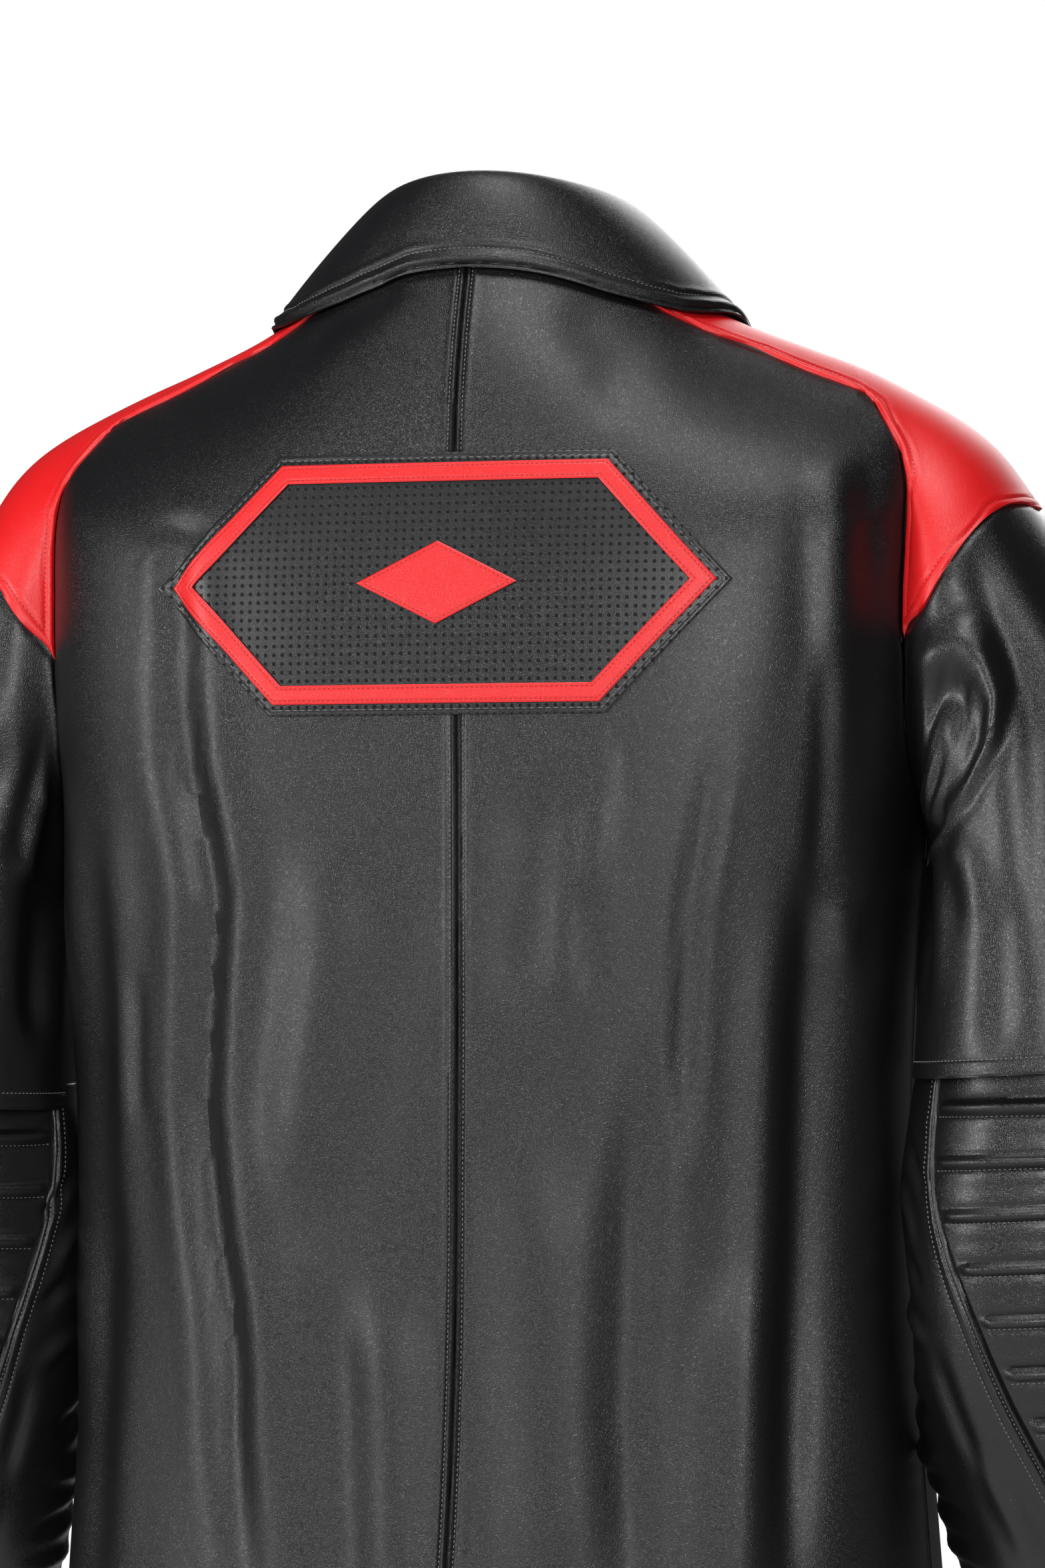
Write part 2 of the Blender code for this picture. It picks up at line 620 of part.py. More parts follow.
def panel_edges(side, reach):
    """Arm angles of the elbow panel's inner and outer seams."""
    reach = np.minimum(reach, PANEL_POINT_REACH)
    twist = LEFT_ARM_TWIST if side == LEFT else 0.0
    inner = smooth(PANEL_SEAMS, PANEL_COLUMNS, "inner", reach)
    outer = smooth(PANEL_SEAMS, PANEL_COLUMNS, "outer", reach)
    return inner + twist, outer + twist


def cord_reaches():
    """Reach of each cord's middle."""
    return CORD_FIRST + CORD_PITCH * np.arange(CORD_COUNT)


def lower_sleeve(name, side, material):
    """The lower sleeve, wrapped from one side of the elbow panel round to the other."""
    cords = (cord_reaches()[:, None] + np.array((-CORD_HALF, CORD_HALF))).ravel()
    reach = np.concatenate(([0.0, LOWER_TUCK], cords, [270.0, PANEL_POINT_REACH, 311.0, CUFF_REACH]))
    inner, outer = panel_edges(side, reach)
    share = np.linspace(0.0, 1.0, LOWER_SEGMENTS + 1)[:, None]
    arm = inner + (outer + 360.0 - inner) * share
    points, out = surface(lower, side, arm, np.broadcast_to(reach, arm.shape))
    return wall(name, points, out, material, edges=("first_column", "last_column"))


def elbow_panel(name, side, material):
    """The elbow panel: cords are raised in its outside, and its inside is plain."""
    cords = (cord_reaches()[:, None] + np.array((-CORD_HALF, 0.0, CORD_HALF))).ravel()
    reach = np.concatenate(([0.0, LOWER_TUCK], cords, [270.0, 283.0]))
    raised = np.isin(reach, cord_reaches())
    inner, outer = panel_edges(side, reach)
    share = np.linspace(0.0, 1.0, ELBOW_SEGMENTS + 1)[:, None]
    arm = outer + (inner - outer) * share
    points, out = surface(lower, side, arm, np.broadcast_to(reach, arm.shape))
    height = CORD_HEIGHT * raised * np.minimum(1.0, 4.0 * share * (1.0 - share) * 2.0)
    return wall(name, points + out * height[..., None], out, material,
                edges=("first_column", "last_column"), plain=points)


# ---------------------------------------------------------------- collar
def neck_angles():
    """Angles of the neck seam's points, from the left front round the back to the right."""
    halves = []
    for side in (LEFT, RIGHT):
        corner, front_corner = yoke_points(side, 1)[0][0], yoke_points(side, -1)[0][0]
        across, _ = armhole(side, np.linspace(1.0, -1.0, CAP_COLUMNS + 1) * YOKE_CORNER)
        behind = corner * across[across >= 0] / across[0]
        before = front_corner * across[across < 0] / across[-1]
        back = np.linspace(90.0, corner, NECK_BACK_SEGMENTS + 1)[:-1]
        front = np.linspace(front_corner, COLLAR_END_ANGLE, NECK_FRONT_SEGMENTS)[1:]
        halves.append(np.concatenate((back, behind, before, front)))
    return np.concatenate((halves[0][::-1], 180.0 - halves[1][1:]))


def fold_line(angle):
    """The line where the stand turns over into the fall."""
    c, s = superellipse(angle, 2.0)
    behind = s >= 0
    depth = np.where(behind, FOLD_BACK_Y, FOLD_FRONT_Y)
    middle = np.where(behind, FOLD_BACK_Z, FOLD_FRONT_Z)
    z = FOLD_SIDE_Z * c * c + middle * s * s
    return np.stack((FOLD_HALF_WIDTH * c, depth * s, z), axis=-1)


def collar_stand(material):
    """The stand, from the neck seam up to the fold."""
    angle = neck_angles()
    foot = body(LEFT, angle, np.zeros(len(angle)))
    top = fold_line(angle)
    share = np.linspace(0.0, 1.0, 3)[None, :, None]
    grid = foot[:, None] + (top - foot)[:, None] * share
    along = np.gradient(grid, axis=0)
    up = (top - foot)[:, None] + 0.0 * grid
    out = unit(np.cross(up, along))
    out = out * np.sign(np.sum(out[..., :2] * grid[..., :2], axis=-1))[..., None]
    grid = grid + unit(up) * (2 * SEAM_GAP * (1.0 - share))
    return wall("collar_stand", grid, out, material)


def collar_fall(material):
    """The fall: it covers the stand's top edge and comes down over the shoulders."""
    angle = neck_angles()
    fold = fold_line(angle)
    folded = np.where(angle > 90.0, 180.0 - angle, angle)
    low = 90.0 - (90.0 - folded) * (90.0 - FALL_EDGE[0, 0]) / (90.0 - COLLAR_END_ANGLE)
    drop = smooth(FALL_EDGE, FALL_COLUMNS, "drop", low)
    low = np.where(angle > 90.0, 180.0 - low, low)
    edge, edge_out = surface(body, LEFT, low, drop)
    edge = edge + edge_out * (FALL_CLEAR + LEATHER)
    away = unit(fold * np.array((1.0, 1.0, 0.0)))
    run = unit(np.gradient(fold, axis=0))
    up = unit(np.array((0.0, 0.0, 1.0)) - run * run[:, 2:])
    start = fold - away * LEATHER + up * (2 * SEAM_GAP + LEATHER)
    roll = fold + away * FALL_ROLL_OUT + up * FALL_ROLL_UP
    belly = fold + (edge - fold) * FALL_BULGE_AT + unit(away + up) * FALL_BULGE
    t = FALL_ROWS[None, :, None]
    grid = (start[:, None] * (1 - t) ** 3 + 3 * roll[:, None] * t * (1 - t) ** 2
            + 3 * belly[:, None] * t * t * (1 - t) + edge[:, None] * t ** 3)
    along = np.gradient(grid, axis=0)
    down = np.gradient(grid, axis=1)
    out = unit(np.cross(along, down))
    out = out * np.sign(np.sum(out * unit(away + up)[:, None], axis=-1))[..., None]
    return wall("collar_fall", grid, out, material)


# ---------------------------------------------------------------- what is applied
def back_at(x, z):
    """Points of the back and their normals at given x and z, found in a few small steps."""
    angle = 90.0 - np.degrees(np.arcsin(x / BACK_RADIUS))
    drop = -z + 0.0 * x
    for _ in range(BACK_STEPS):
        place = body(LEFT, angle, drop)
        drop = drop + (place[..., 2] - z)
        angle = angle + np.degrees((place[..., 0] - x) / BACK_RADIUS)
    return surface(body, LEFT, angle, drop)


def applied(name, x, z, offset, thickness, material, closed=False):
    """A piece that lies on the back, from a grid of x and z."""
    points, out = back_at(x, z)
    return wall(name, points + out * (offset + thickness), out, material,
                thickness=thickness, closed=closed)


def hexagon(half_length, half_flat, half_height, long_segments, slant_segments):
    """Closed outline of a hexagon with pointed ends, clockwise from its right point."""
    corners = np.array(((half_length, 0), (half_flat, -half_height), (-half_flat, -half_height),
                        (-half_length, 0), (-half_flat, half_height), (half_flat, half_height)), float)
    runs = (slant_segments, long_segments, slant_segments) * 2
    points = []
    for k, segments in enumerate(runs):
        share = np.arange(segments)[:, None] / segments
        points.append(corners[k] + (corners[(k + 1) % 6] - corners[k]) * share)
    return np.concatenate(points)


def drawn_in(half_length, half_flat, half_height, distance):
    """The hexagon's three sizes with each side moved in by a distance."""
    run, rise = half_length - half_flat, half_height
    slant = math.hypot(run, rise)
    length = half_length - distance * slant / rise
    height = half_height - distance
    flat = length - run * height / rise
    return length, flat, height


def patch_sheet(name, sizes, segments, offset, material):
    """A filled hexagon on the back."""
    half_length, half_flat, half_height = sizes
    columns, rows = segments
    x = np.linspace(-1.0, 1.0, columns + 1) * (half_length - PATCH_POINT_CUT)
    slope = half_height / (half_length - half_flat)
    half = np.minimum(half_height, (half_length - np.abs(x)) * slope)
    share = np.linspace(1.0, -1.0, rows + 1)
    grid_x = np.repeat(x[:, None], rows + 1, axis=1)
    grid_z = PATCH_MIDDLE_Z + half[:, None] * share
    return applied(name, grid_x, grid_z, offset, PATCH, material)


def badge(black, red):
    """The patch on the back: black leather, a red band round it and a red diamond."""
    sizes = (PATCH_HALF_LENGTH, PATCH_HALF_FLAT, PATCH_HALF_HEIGHT)
    patch_sheet("badge_base", sizes, PATCH_SEGMENTS, PATCH_OFFSET, black)
    outer = hexagon(*drawn_in(*sizes, PATCH_EDGE), *BAND_SEGMENTS)
    inner = hexagon(*drawn_in(*sizes, PATCH_EDGE + BAND_WIDTH), *BAND_SEGMENTS)
    ring = np.stack((outer, inner), axis=1)
    above = 2 * PATCH_OFFSET + PATCH
    applied("badge_band", ring[..., 0], PATCH_MIDDLE_Z + ring[..., 1], above, PATCH, red, closed=True)
    diamond = (DIAMOND_HALF_LENGTH, 0.0, DIAMOND_HALF_HEIGHT)
    patch_sheet("badge_diamond", diamond, DIAMOND_SEGMENTS, above, red)


def stud(number, material):
    """A press-stud cap on the lapped front."""
    drop = np.array(STUD_FIRST_DROP + STUD_PITCH * number)
    place, out = surface(body, LEFT, np.array(-90.0), drop)
    across = np.array((1.0, 0.0, 0.0))
    up = np.cross(out, across)
    sides = STUD_SIDES
    vertices = []
    for height, radius in STUD_PROFILE:
        for k in range(sides):
            turn = 2 * math.pi * k / sides
            vertices.append(place + out * height
                            + radius * (across * math.cos(turn) + up * math.sin(turn)))
    faces = [tuple(range(sides)), tuple(range(len(vertices) - 1, len(vertices) - sides - 1, -1))]
    for ring in range(len(STUD_PROFILE) - 1):
        for k in range(sides):
            a, b = ring * sides + k, ring * sides + (k + 1) % sides
            faces.append((b, a, a + sides, b + sides))
    add_piece("stud_%d" % (number + 1), vertices, faces, material)


# ---------------------------------------------------------------- the whole jacket
def make_material(name, colour, roughness, metallic=0.0):
    """A Principled material."""
    material = bpy.data.materials.new(name)
    material.use_nodes = True
    shader = material.node_tree.nodes["Principled BSDF"]
    shader.inputs["Base Color"].default_value = (*colour, 1.0)
    shader.inputs["Roughness"].default_value = roughness
    shader.inputs["Metallic"].default_value = metallic
    return material


def main():
    for old in list(bpy.data.objects):
        bpy.data.objects.remove(old, do_unlink=True)
    black = make_material(*BLACK_LEATHER)
    red = make_material(*RED_LEATHER)
    perforated = make_material(*PERFORATED)
    metal = make_material(*STUD_METAL, metallic=0.8)
    for word, side in (("left", LEFT), ("right", RIGHT)):
        body_panel("back_" + word, side, 1, black)
        body_panel("front_" + word, side, -1, black)
        shoulder("shoulder_" + word, side, red)
        upper_sleeve("oversleeve_" + word, side, black)
        lower_sleeve("sleeve_" + word, side, black)
        elbow_panel("elbow_" + word, side, black)
    collar_stand(black)
    collar_fall(black)
    badge(perforated, red)
    for number in range(STUD_COUNT):
        stud(number, metal)


if __name__ == "__main__":
    main()
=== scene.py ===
"""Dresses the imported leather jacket: fine leather shells on the solids' forms, with their creases,
seams, stitching and grain. Lengths are millimetres until a mesh is made, in the frame of the solids:
-Y is the front, +X the wearer's left, the origin is the middle of the neck opening.
"""
import json
import math

import bpy
import numpy as np
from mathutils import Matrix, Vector

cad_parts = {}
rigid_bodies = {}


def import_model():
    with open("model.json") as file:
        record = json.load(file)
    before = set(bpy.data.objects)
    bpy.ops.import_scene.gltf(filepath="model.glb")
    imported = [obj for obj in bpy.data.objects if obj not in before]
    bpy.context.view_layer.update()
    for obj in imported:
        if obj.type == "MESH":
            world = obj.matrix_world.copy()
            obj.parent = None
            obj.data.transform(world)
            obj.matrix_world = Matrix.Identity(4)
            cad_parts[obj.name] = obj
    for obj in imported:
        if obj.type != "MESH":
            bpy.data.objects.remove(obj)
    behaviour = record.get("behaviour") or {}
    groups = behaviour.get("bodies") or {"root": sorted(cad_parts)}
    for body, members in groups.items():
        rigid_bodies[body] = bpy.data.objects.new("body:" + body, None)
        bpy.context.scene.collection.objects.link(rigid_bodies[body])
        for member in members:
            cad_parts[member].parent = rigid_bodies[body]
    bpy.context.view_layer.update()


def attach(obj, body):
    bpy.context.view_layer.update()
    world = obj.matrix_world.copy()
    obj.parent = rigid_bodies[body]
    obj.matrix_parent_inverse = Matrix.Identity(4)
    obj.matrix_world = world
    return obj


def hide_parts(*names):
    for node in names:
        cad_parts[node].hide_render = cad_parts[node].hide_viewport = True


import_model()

MM = 0.001
LEATHER = 1.6
PATCH = 1.0
LEFT, RIGHT = 1, -1
BEHIND, AHEAD = 1, -1

# ---------------------------------------------------------------- the jacket's form, as in its solids
HEM_DROP = 776.0
# Rings of the body. drop: length down the back from the neck seam; half_width, side_z: the
# ring at the side; back_y, back_z: at the middle of the back; front_y, front_z: at the middle
# of the front; squareness: 2 is an ellipse; sag: how far the ring dips between side and back.
BODY_COLUMNS = ("drop", "half_width", "side_z", "back_y", "back_z", "front_y", "front_z",
                "squareness", "sag")
BODY_RINGS = np.array((
    (0,   80,  -24,  74,  -10,  84,  -85, 2.0, 0),
    (30,  104, -42,  88,  -37,  96, -106, 2.1, 3),
    (60,  134, -58, 102,  -63, 107, -130, 2.3, 13),
    (100, 176, -75, 118, -100, 119, -163, 2.6, 21),
    (150, 218, -92, 132, -148, 131, -205, 3.0, 20),
    (200, 242, -116, 141, -197, 138, -246, 3.3, 12),
    (260, 246, -190, 146, -257, 143, -293, 3.4, 4),
    (340, 241, -320, 148, -337, 145, -356, 3.1, 0),
    (430, 232, -430, 147, -427, 145, -436, 2.8, 0),
    (550, 230, -549, 145, -546, 142, -549, 2.6, 0),
    (660, 236, -659, 146, -656, 142, -659, 2.6, 0),
    (776, 245, -776, 150, -772, 146, -776, 2.6, 0),
))

# The centre-back seam swings a little towards the wearer's right.
CENTRE_COLUMNS = ("drop", "shift")
CENTRE_SEAM = np.array(((0, 0), (100, -4), (260, -11), (520, -11), (680, -8), (776, -4)))

SIDE_SEAM_ANGLE = 5.0       # the side seams lie a little behind the middle of the side
ARMHOLE_BACK_ANGLE = {1: 27.0, -1: 24.5}    # how far each armhole reaches round the back
ARMHOLE_FRONT_ANGLE = 25.0  # and round the front
ARMHOLE_DROP = 237.0        # middle of the armhole
ARMHOLE_HALF = 103.0        # half its height, measured as drop
ARMHOLE_SQUARE = 2.8        # and how square it is
LEFT_SHOULDER_DROP = 5.0    # the left shoulder hangs this much lower
LEFT_SHOULDER_SIDE = (60.0, 230.0)      # more and more between these distances from the middle
LEFT_SHOULDER_END = (200.0, 430.0)      # and less and less between these drops

# Seam between the back or front and the red shoulder: angle from the side at each drop.
YOKE_COLUMNS = ("drop", "angle")
YOKE_SEAM = np.array(((0, 42), (30, 38), (43, 33), (56, 26), (72, 20.5), (100, 18.5), (140, 17)))
YOKE_CORNER = 39.0          # arm angle where that seam meets the armhole
CAP_TIP_ANGLE = 114.0       # the red piece ends in a point at this arm angle
CAP_DEPTH = 96.0            # and reaches this far down the outside of the arm
CAP_CURVE = 1.6             # higher is a squarer lower edge

# Upper sleeve: rings from the armhole to the free hem. reach: nominal length down the arm;
# out_x, out_z: the outside of the ring; in_x, in_z: the side next to the body; mid_y and
# half_y: centre and half depth from front to back.
UPPER_COLUMNS = ("reach", "out_x", "out_z", "in_x", "in_z", "mid_y", "half_y")
UPPER_RINGS = np.array((
    (40,  262, -119, 243, -345, 2, 88),
    (90,  296, -158, 244, -356, 6, 89),
    (150, 331, -216, 243, -372, 14, 87),
    (220, 357, -288, 242, -398, 25, 84),
    (300, 376, -372, 241, -432, 36, 81),
    (380, 388, -462, 240, -470, 46, 78),
))
SLEEVE_ROUND = 2.25

# Lower sleeve: rings from its seam inside the upper sleeve to the cuff.
LOWER_COLUMNS = ("reach", "mid_x", "mid_y", "mid_z", "half_x", "half_y")
LOWER_RINGS = np.array((
    (40,  310, 45, -477, 66, 68),
    (90,  303, 49, -527, 65, 66),
    (150, 301, 46, -586, 63, 65),
    (205, 302, 35, -640, 60, 62),
    (255, 309, 21, -689, 57, 58),
    (300, 318, 7, -732, 53, 54),
    (330, 323, -1, -760, 49, 51),
))
LOWER_SEAT = 335.0      # reach on the upper sleeve where the lower sleeve is sewn in
LOWER_SEAT_GAP = 1.2
LOWER_TUCK = 14.0       # just below its seam it has already drawn in by this much more
LOWER_TUCK_DEPTH = 4.0
CUFF_REACH = 330.0
RING_TILT = 0.05        # the rings rise towards the outside of the arm
LEFT_ARM_DROP = 20.0    # the left sleeve hangs this much lower
LEFT_ARM_DROP_OVER = 150.0
LEFT_ARM_TWIST = 24.0   # and its elbow panel is turned towards the body

# Elbow panel: from the seat down to a point on the forearm, with cords across it.
PANEL_COLUMNS = ("reach", "inner", "outer")     # arm angles of its two side seams
PANEL_SEAMS = np.array(((0, 142, -8), (50, 140, -4), (80, 134, 2), (120, 121, 14), (160, 107, 27),
                        (205, 92, 41), (245, 79, 52), (292, 64, 64)))
PANEL_POINT_REACH = 292.0
CORD_COUNT = 8
CORD_FIRST = 45.0
CORD_PITCH = 28.7

# Collar: the fold line where the stand turns over into the fall, and the fall's lower edge.
FOLD_HALF_WIDTH = 62.0
FOLD_BACK_Y = 68.0
FOLD_FRONT_Y = 74.0
FOLD_SIDE_Z = 13.0
FOLD_BACK_Z = 20.0
FOLD_FRONT_Z = -52.0
FALL_COLUMNS = ("angle", "drop")
FALL_EDGE = np.array(((-66, 118), (-40, 84), (-15, 64), (0, 58), (25, 50), (45, 39), (65, 31), (90, 28)))
FALL_CLEAR = 3.0            # the fall's edge stands this far off the body
FALL_ROLL_OUT = 9.0         # the roll over the fold: how far out and up its guide point lies
FALL_ROLL_UP = 4.0
FALL_BULGE = 9.0            # and the fall's guide point: off the straight line to the edge
FALL_BULGE_AT = 0.55
COLLAR_END_ANGLE = -86.0    # the stand and the fold stop short of the middle of the front

FRONT_LAP = 18.0            # each front reaches this far past the middle
LAP_DEPTH = LEATHER + 0.9   # the right front lies this far inside the left one
LAP_RISE = (44.0, 90.0)     # and comes level between these distances from the middle
LAP_NECK_DROP = 5.0         # the laps are cut this much lower at the neck

# Applied patch on the back: a hexagon with pointed ends, its middle below the neck seam.
PATCH_MIDDLE_Z = -207.0
PATCH_HALF_LENGTH = 158.0
PATCH_HALF_FLAT = 92.0
PATCH_HALF_HEIGHT = 70.0
PATCH_OFFSET = 0.7
BACK_RADIUS = 250.0         # rough radius of the back, for finding points on it
BACK_STEPS = 14             # and the steps that the search takes
PATCH_EDGE = 6.0            # black edge outside the red band
BAND_WIDTH = 10.0
DIAMOND_HALF_LENGTH = 44.0
DIAMOND_HALF_HEIGHT = 22.0

# Shares of a panel's edges, where its corners lie.
BACK_NECK_SHARE = 5 / 12
FRONT_LAP_SHARE = 1 / 11
FRONT_NECK_SHARE = 4 / 11
CAP_SHARE = 8 / 28
UNDERARM_SHARE = 16 / 28
MIDDLE_SHARE = 17 / 28
MIDDLE_DROP = 376.3
FIRST_ROW_SHARE = 1 / 28
FIRST_ROW_DROP = MIDDLE_DROP / 17
YOKE_SHARE = 7 / 15

ANGLE_STEP = 1.0        # steps for a surface's slopes
ALONG_STEP = 0.5
ARM_MM = 1.3            # millimetres of sleeve to a degree round it
ARM_FIRST_ANGLE = -95.0     # arm angles are counted from here, in front of the arm, for the creases
TURN_COUNT = 1441       # points of a ring that is worked out once and then looked up

# Grids over the pieces: length, widths of the fine bands at the start and the end, coarse step between.
FINE_STEP = 0.65
SEAM_BAND = 9.0
BACK_GRID = ((255.0, SEAM_BAND, SEAM_BAND, 3.84), (HEM_DROP, SEAM_BAND, 5.0, 3.84))
FRONT_GRID = ((262.0, SEAM_BAND, SEAM_BAND, 6.08), (HEM_DROP, SEAM_BAND, 5.0, 6.08))
SHOULDER_ACROSS = (190.0, SEAM_BAND, SEAM_BAND, 3.0)
SHOULDER_ALONG = (260.0, 5.0, SEAM_BAND, 2.6)
UPPER_AROUND = 160
UPPER_ALONG = (300.0, 8.0, 12.0, 3.2)
LOWER_AROUND = (340.0, 12.0, 12.0, 3.6)
LOWER_ALONG = (CUFF_REACH, 0.0, 6.0, 3.2)
ELBOW_ACROSS = (190.0, 6.0, 6.0, 3.0)
ELBOW_LENGTH = 283.0
ELBOW_ROWS = 219
COLLAR_AROUND = (440.0, 5.0, 5.0, 2.0)
STAND_ROWS = 15
FALL_ALONG = (85.0, 0.0, 16.0, 1.8)
PATCH_SEGMENTS = (60, 32)       # along a long and a slanting side
DIAMOND_SEGMENTS = (0, 26)
PATH_STEP = 8           # a seam's line takes every so many points of the grid

# How a crease fades along its length, and its banks.
CREASE_START = 0.28
CREASE_END = 0.68
CREASE_BANK = 0.3
CREASE_REACH = 4.0      # in half widths: farther off it is left out
CREASE_DEPTHS = (-5.0, 40.0)    # creases of the back or front come in between these depths
UPPER_CREASES_IN = 30.0     # an arm's creases and puffs come in over these reaches
LOWER_PUFFS_IN = 14.0

# The corner at the armhole is rounded by a running mean.
EASE_PASSES = 60
EASE_ROWS = 9.0
EASE_END = 0.82

# Stitching: distance of each row from its seam or edge.
CENTRE_STITCH = 3.7
LAP_STITCH = 6.0
RED_STITCH = 5.2
HEM_STITCH = 22.0
OVER_HEM_STITCH = 9.0
SLEEVE_STITCH = 4.0
STRIP_STITCH = 10.0
CORD_STITCH = 4.4
COLLAR_STITCH = 11.0
PATCH_STITCH = 3.0
APPLIED_STITCH = 1.8
COLLAR_LIP = 2.6
CORD_RISE = 3.0
CORD_WIDTH = 2.6
CORD_ENDS = (1.0, 9.0)      # the cords rise between these distances from the panel's seams
PANEL_SEAM_DEPTH = 1.2
PAD_RISE = 0.8              # the leather between two cords bulges
PAD_SLOPES = (8.0, 11.0)    # over these widths from a cord's stitches and from the middle
STITCHES_CLEAR = 3.0        # the cords' stitches end this far from the panel's seams

# Creases: path, half width, height (a trough is negative) and how much its banks lean to one side.
# On the body a path is (x, z); on an arm it is (arm angle, reach).
BACK_CREASES = (
    (((156, -170), (149, -190), (146, -225), (145, -267), (142, -304), (134, -338), (128, -373),
      (133, -429), (137, -483), (134, -518), (129, -554), (122, -590), (118, -626), (117, -662),
      (111, -713), (98, -800)), 10.0, -9.5, 0.5),
    (((190, -300), (189, -360), (187, -430), (188, -520), (180, -600)), 10.0, 3.2, 0.0),
    (((222, -300), (224, -400), (226, -480), (226, -560), (222, -680)), 15.0, 8.0, 0.0),
    (((-218, -300), (-222, -400), (-224, -520), (-222, -640), (-226, -800)), 12.0, 4.0, 0.0),
    (((178, -405), (176, -430), (177, -470), (176, -505)), 5.0, -2.0, 0.3),
    (((172, -160), (158, -172), (140, -178), (148, -192), (146, -223), (138, -256)), 8.0, -2.4, 0.0),
    (((-84, -282), (-92, -305), (-88, -340), (-85, -390)), 4.5, 1.8, 0.0),
    (((-82, -360), (-82, -392), (-83, -432)), 5.5, -2.2, -0.4),
    (((-151, -272), (-148, -306), (-142, -343), (-135, -379), (-134, -414), (-132, -451), (-131, -530)),
     5.0, -2.8, 0.5),
    (((-206, -236), (-203, -300), (-198, -378)), 5.0, -2.2, -0.4),
    (((-208, -372), (-208, -394), (-206, -416)), 7.5, 3.6, 0.0),
    (((-205, -330), (-201, -360), (-193, -427), (-190, -499), (-188, -570), (-186, -639), (-184, -800)),
     10.0, -8.5, -0.6),
    (((-204, -130), (-208, -170), (-209, -254), (-206, -330)), 8.0, 3.0, 0.0),
    (((-226, -126), (-223, -152), (-228, -176), (-232, -205), (-231, -236), (-222, -258)), 9.0, -3.0, 0.0),
    (((-212, -190), (-219, -176), (-228, -172), (-233, -186), (-234, -226)), 5.0, 1.5, 0.0),
    (((30, -560), (24, -660), (20, -800)), 22.0, 4.2, 0.0),
    (((-42, -470), (-56, -560), (-64, -700), (-70, -800)), 24.0, 5.0, 0.0),
    (((66, -330), (60, -400), (72, -470), (86, -560)), 20.0, 4.4, 0.0),
    (((-60, -300), (-48, -380), (-40, -450)), 16.0, -3.4, 0.0),
    (((60, -560), (52, -640), (46, -800)), 13.0, -3.8, 0.0),
    (((-112, -430), (-104, -540), (-100, -640), (-108, -800)), 11.0, -3.8, 0.0),
    (((-160, -560), (-158, -680), (-162, -800)), 14.0, 4.2, 0.0),
    (((206, -520), (204, -640), (208, -800)), 11.0, -4.0, 0.0),
    (((30, -40), (70, -56), (104, -80)), 11.0, -3.0, 0.0),
    (((-52, -50), (-84, -84), (-92, -128)), 15.0, -1.8, 0.0),
)
FRONT_CREASES = (
    (((132, -170), (118, -260), (112, -380), (104, -520), (98, -660), (90, -800)), 12.0, -5.0, 0.4),
    (((178, -300), (182, -420), (174, -560), (170, -700)), 11.0, 3.2, 0.0),
    (((205, -210), (196, -330), (202, -470)), 8.0, -3.2, 0.3),
    (((-110, -190), (-100, -300), (-108, -430), (-116, -600), (-120, -800)), 11.0, -4.6, -0.4),
    (((-192, -240), (-188, -380), (-180, -520), (-184, -640)), 9.0, -4.0, 0.4),
    (((-160, -420), (-158, -560), (-150, -720)), 12.0, 3.0, 0.0),
    (((52, -420), (46, -560), (44, -800)), 14.0, 2.4, 0.0),
    (((-52, -260), (-60, -420), (-50, -560)), 18.0, 2.0, 0.0),
    (((70, -560), (76, -660), (70, -800)), 9.0, -2.0, 0.0),
)
ARM_CREASES_BOTH = (
    (((152, 90), (146, 150), (148, 230), (152, 330)), 10.0, -6.0, 0.0),
    (((60, 70), (67, 150), (77, 240), (84, 350)), 12.0, -2.2, 0.4),
    (((45, 120), (52, 220), (56, 310)), 11.0, 2.2, 0.0),
    (((12, 130), (2, 220), (-6, 350)), 13.0, -3.0, 0.0),
    (((-40, 90), (-54, 180), (-58, 310)), 11.0, 3.0, 0.0),
    (((-72, 60), (-80, 140), (-76, 230)), 9.0, -4.0, 0.0),
    (((200, 60), (213, 180), (219, 330)), 12.0, -5.0, 0.0),
    (((238, 110), (234, 260)), 11.0, 3.0, 0.0),
    (((30, 200), (26, 280), (30, 370)), 8.0, -1.8, 0.0),
)
UPPER_CREASES = {
    RIGHT: ARM_CREASES_BOTH + (
        (((120, 4), (104, 30), (92, 54), (83, 82), (77, 108), (79, 136), (88, 153), (104, 155), (126, 132)),
         7.0, 5.2, 0.0),
        (((112, 46), (99, 76), (94, 104), (98, 130)), 7.0, -4.0, 0.0),
        (((150, 100), (136, 126), (118, 140)), 9.0, -8.0, 0.0),
        (((134, 60), (126, 84), (120, 104)), 14.0, 4.0, 0.0),
        (((122, 165), (112, 205), (108, 270)), 8.0, 2.6, 0.0),
        (((97, 240), (101, 310), (104, 380)), 10.0, -2.4, 0.0),
        (((62, 60), (63, 120), (66, 190)), 9.0, -2.6, 0.0),
    ),
    LEFT: ARM_CREASES_BOTH + (
        (((131, 10), (132, 62), (134, 118), (126, 156)), 5.5, 3.8, 0.0),
        (((150, 26), (148, 66), (146, 110)), 9.0, -5.0, 0.0),
        (((112, 56), (105, 130), (110, 220)), 10.0, -3.2, 0.0),
        (((90, 240), (96, 320)), 9.0, 2.2, 0.0),
    ),
}
LOWER_PUFFS = {
    RIGHT: ((((180, -60), (180, 40), (182, 90), (184, 150)), 24.0, 6.5, 0.0),
            (((184, 170), (182, 250), (180, 420)), 26.0, 8.0, 0.0)),
    LEFT: ((((182, -60), (184, 60), (186, 130), (188, 230)), 30.0, 8.0, 0.0),
           (((188, 190), (184, 290), (182, 420)), 26.0, 5.0, 0.0)),
}
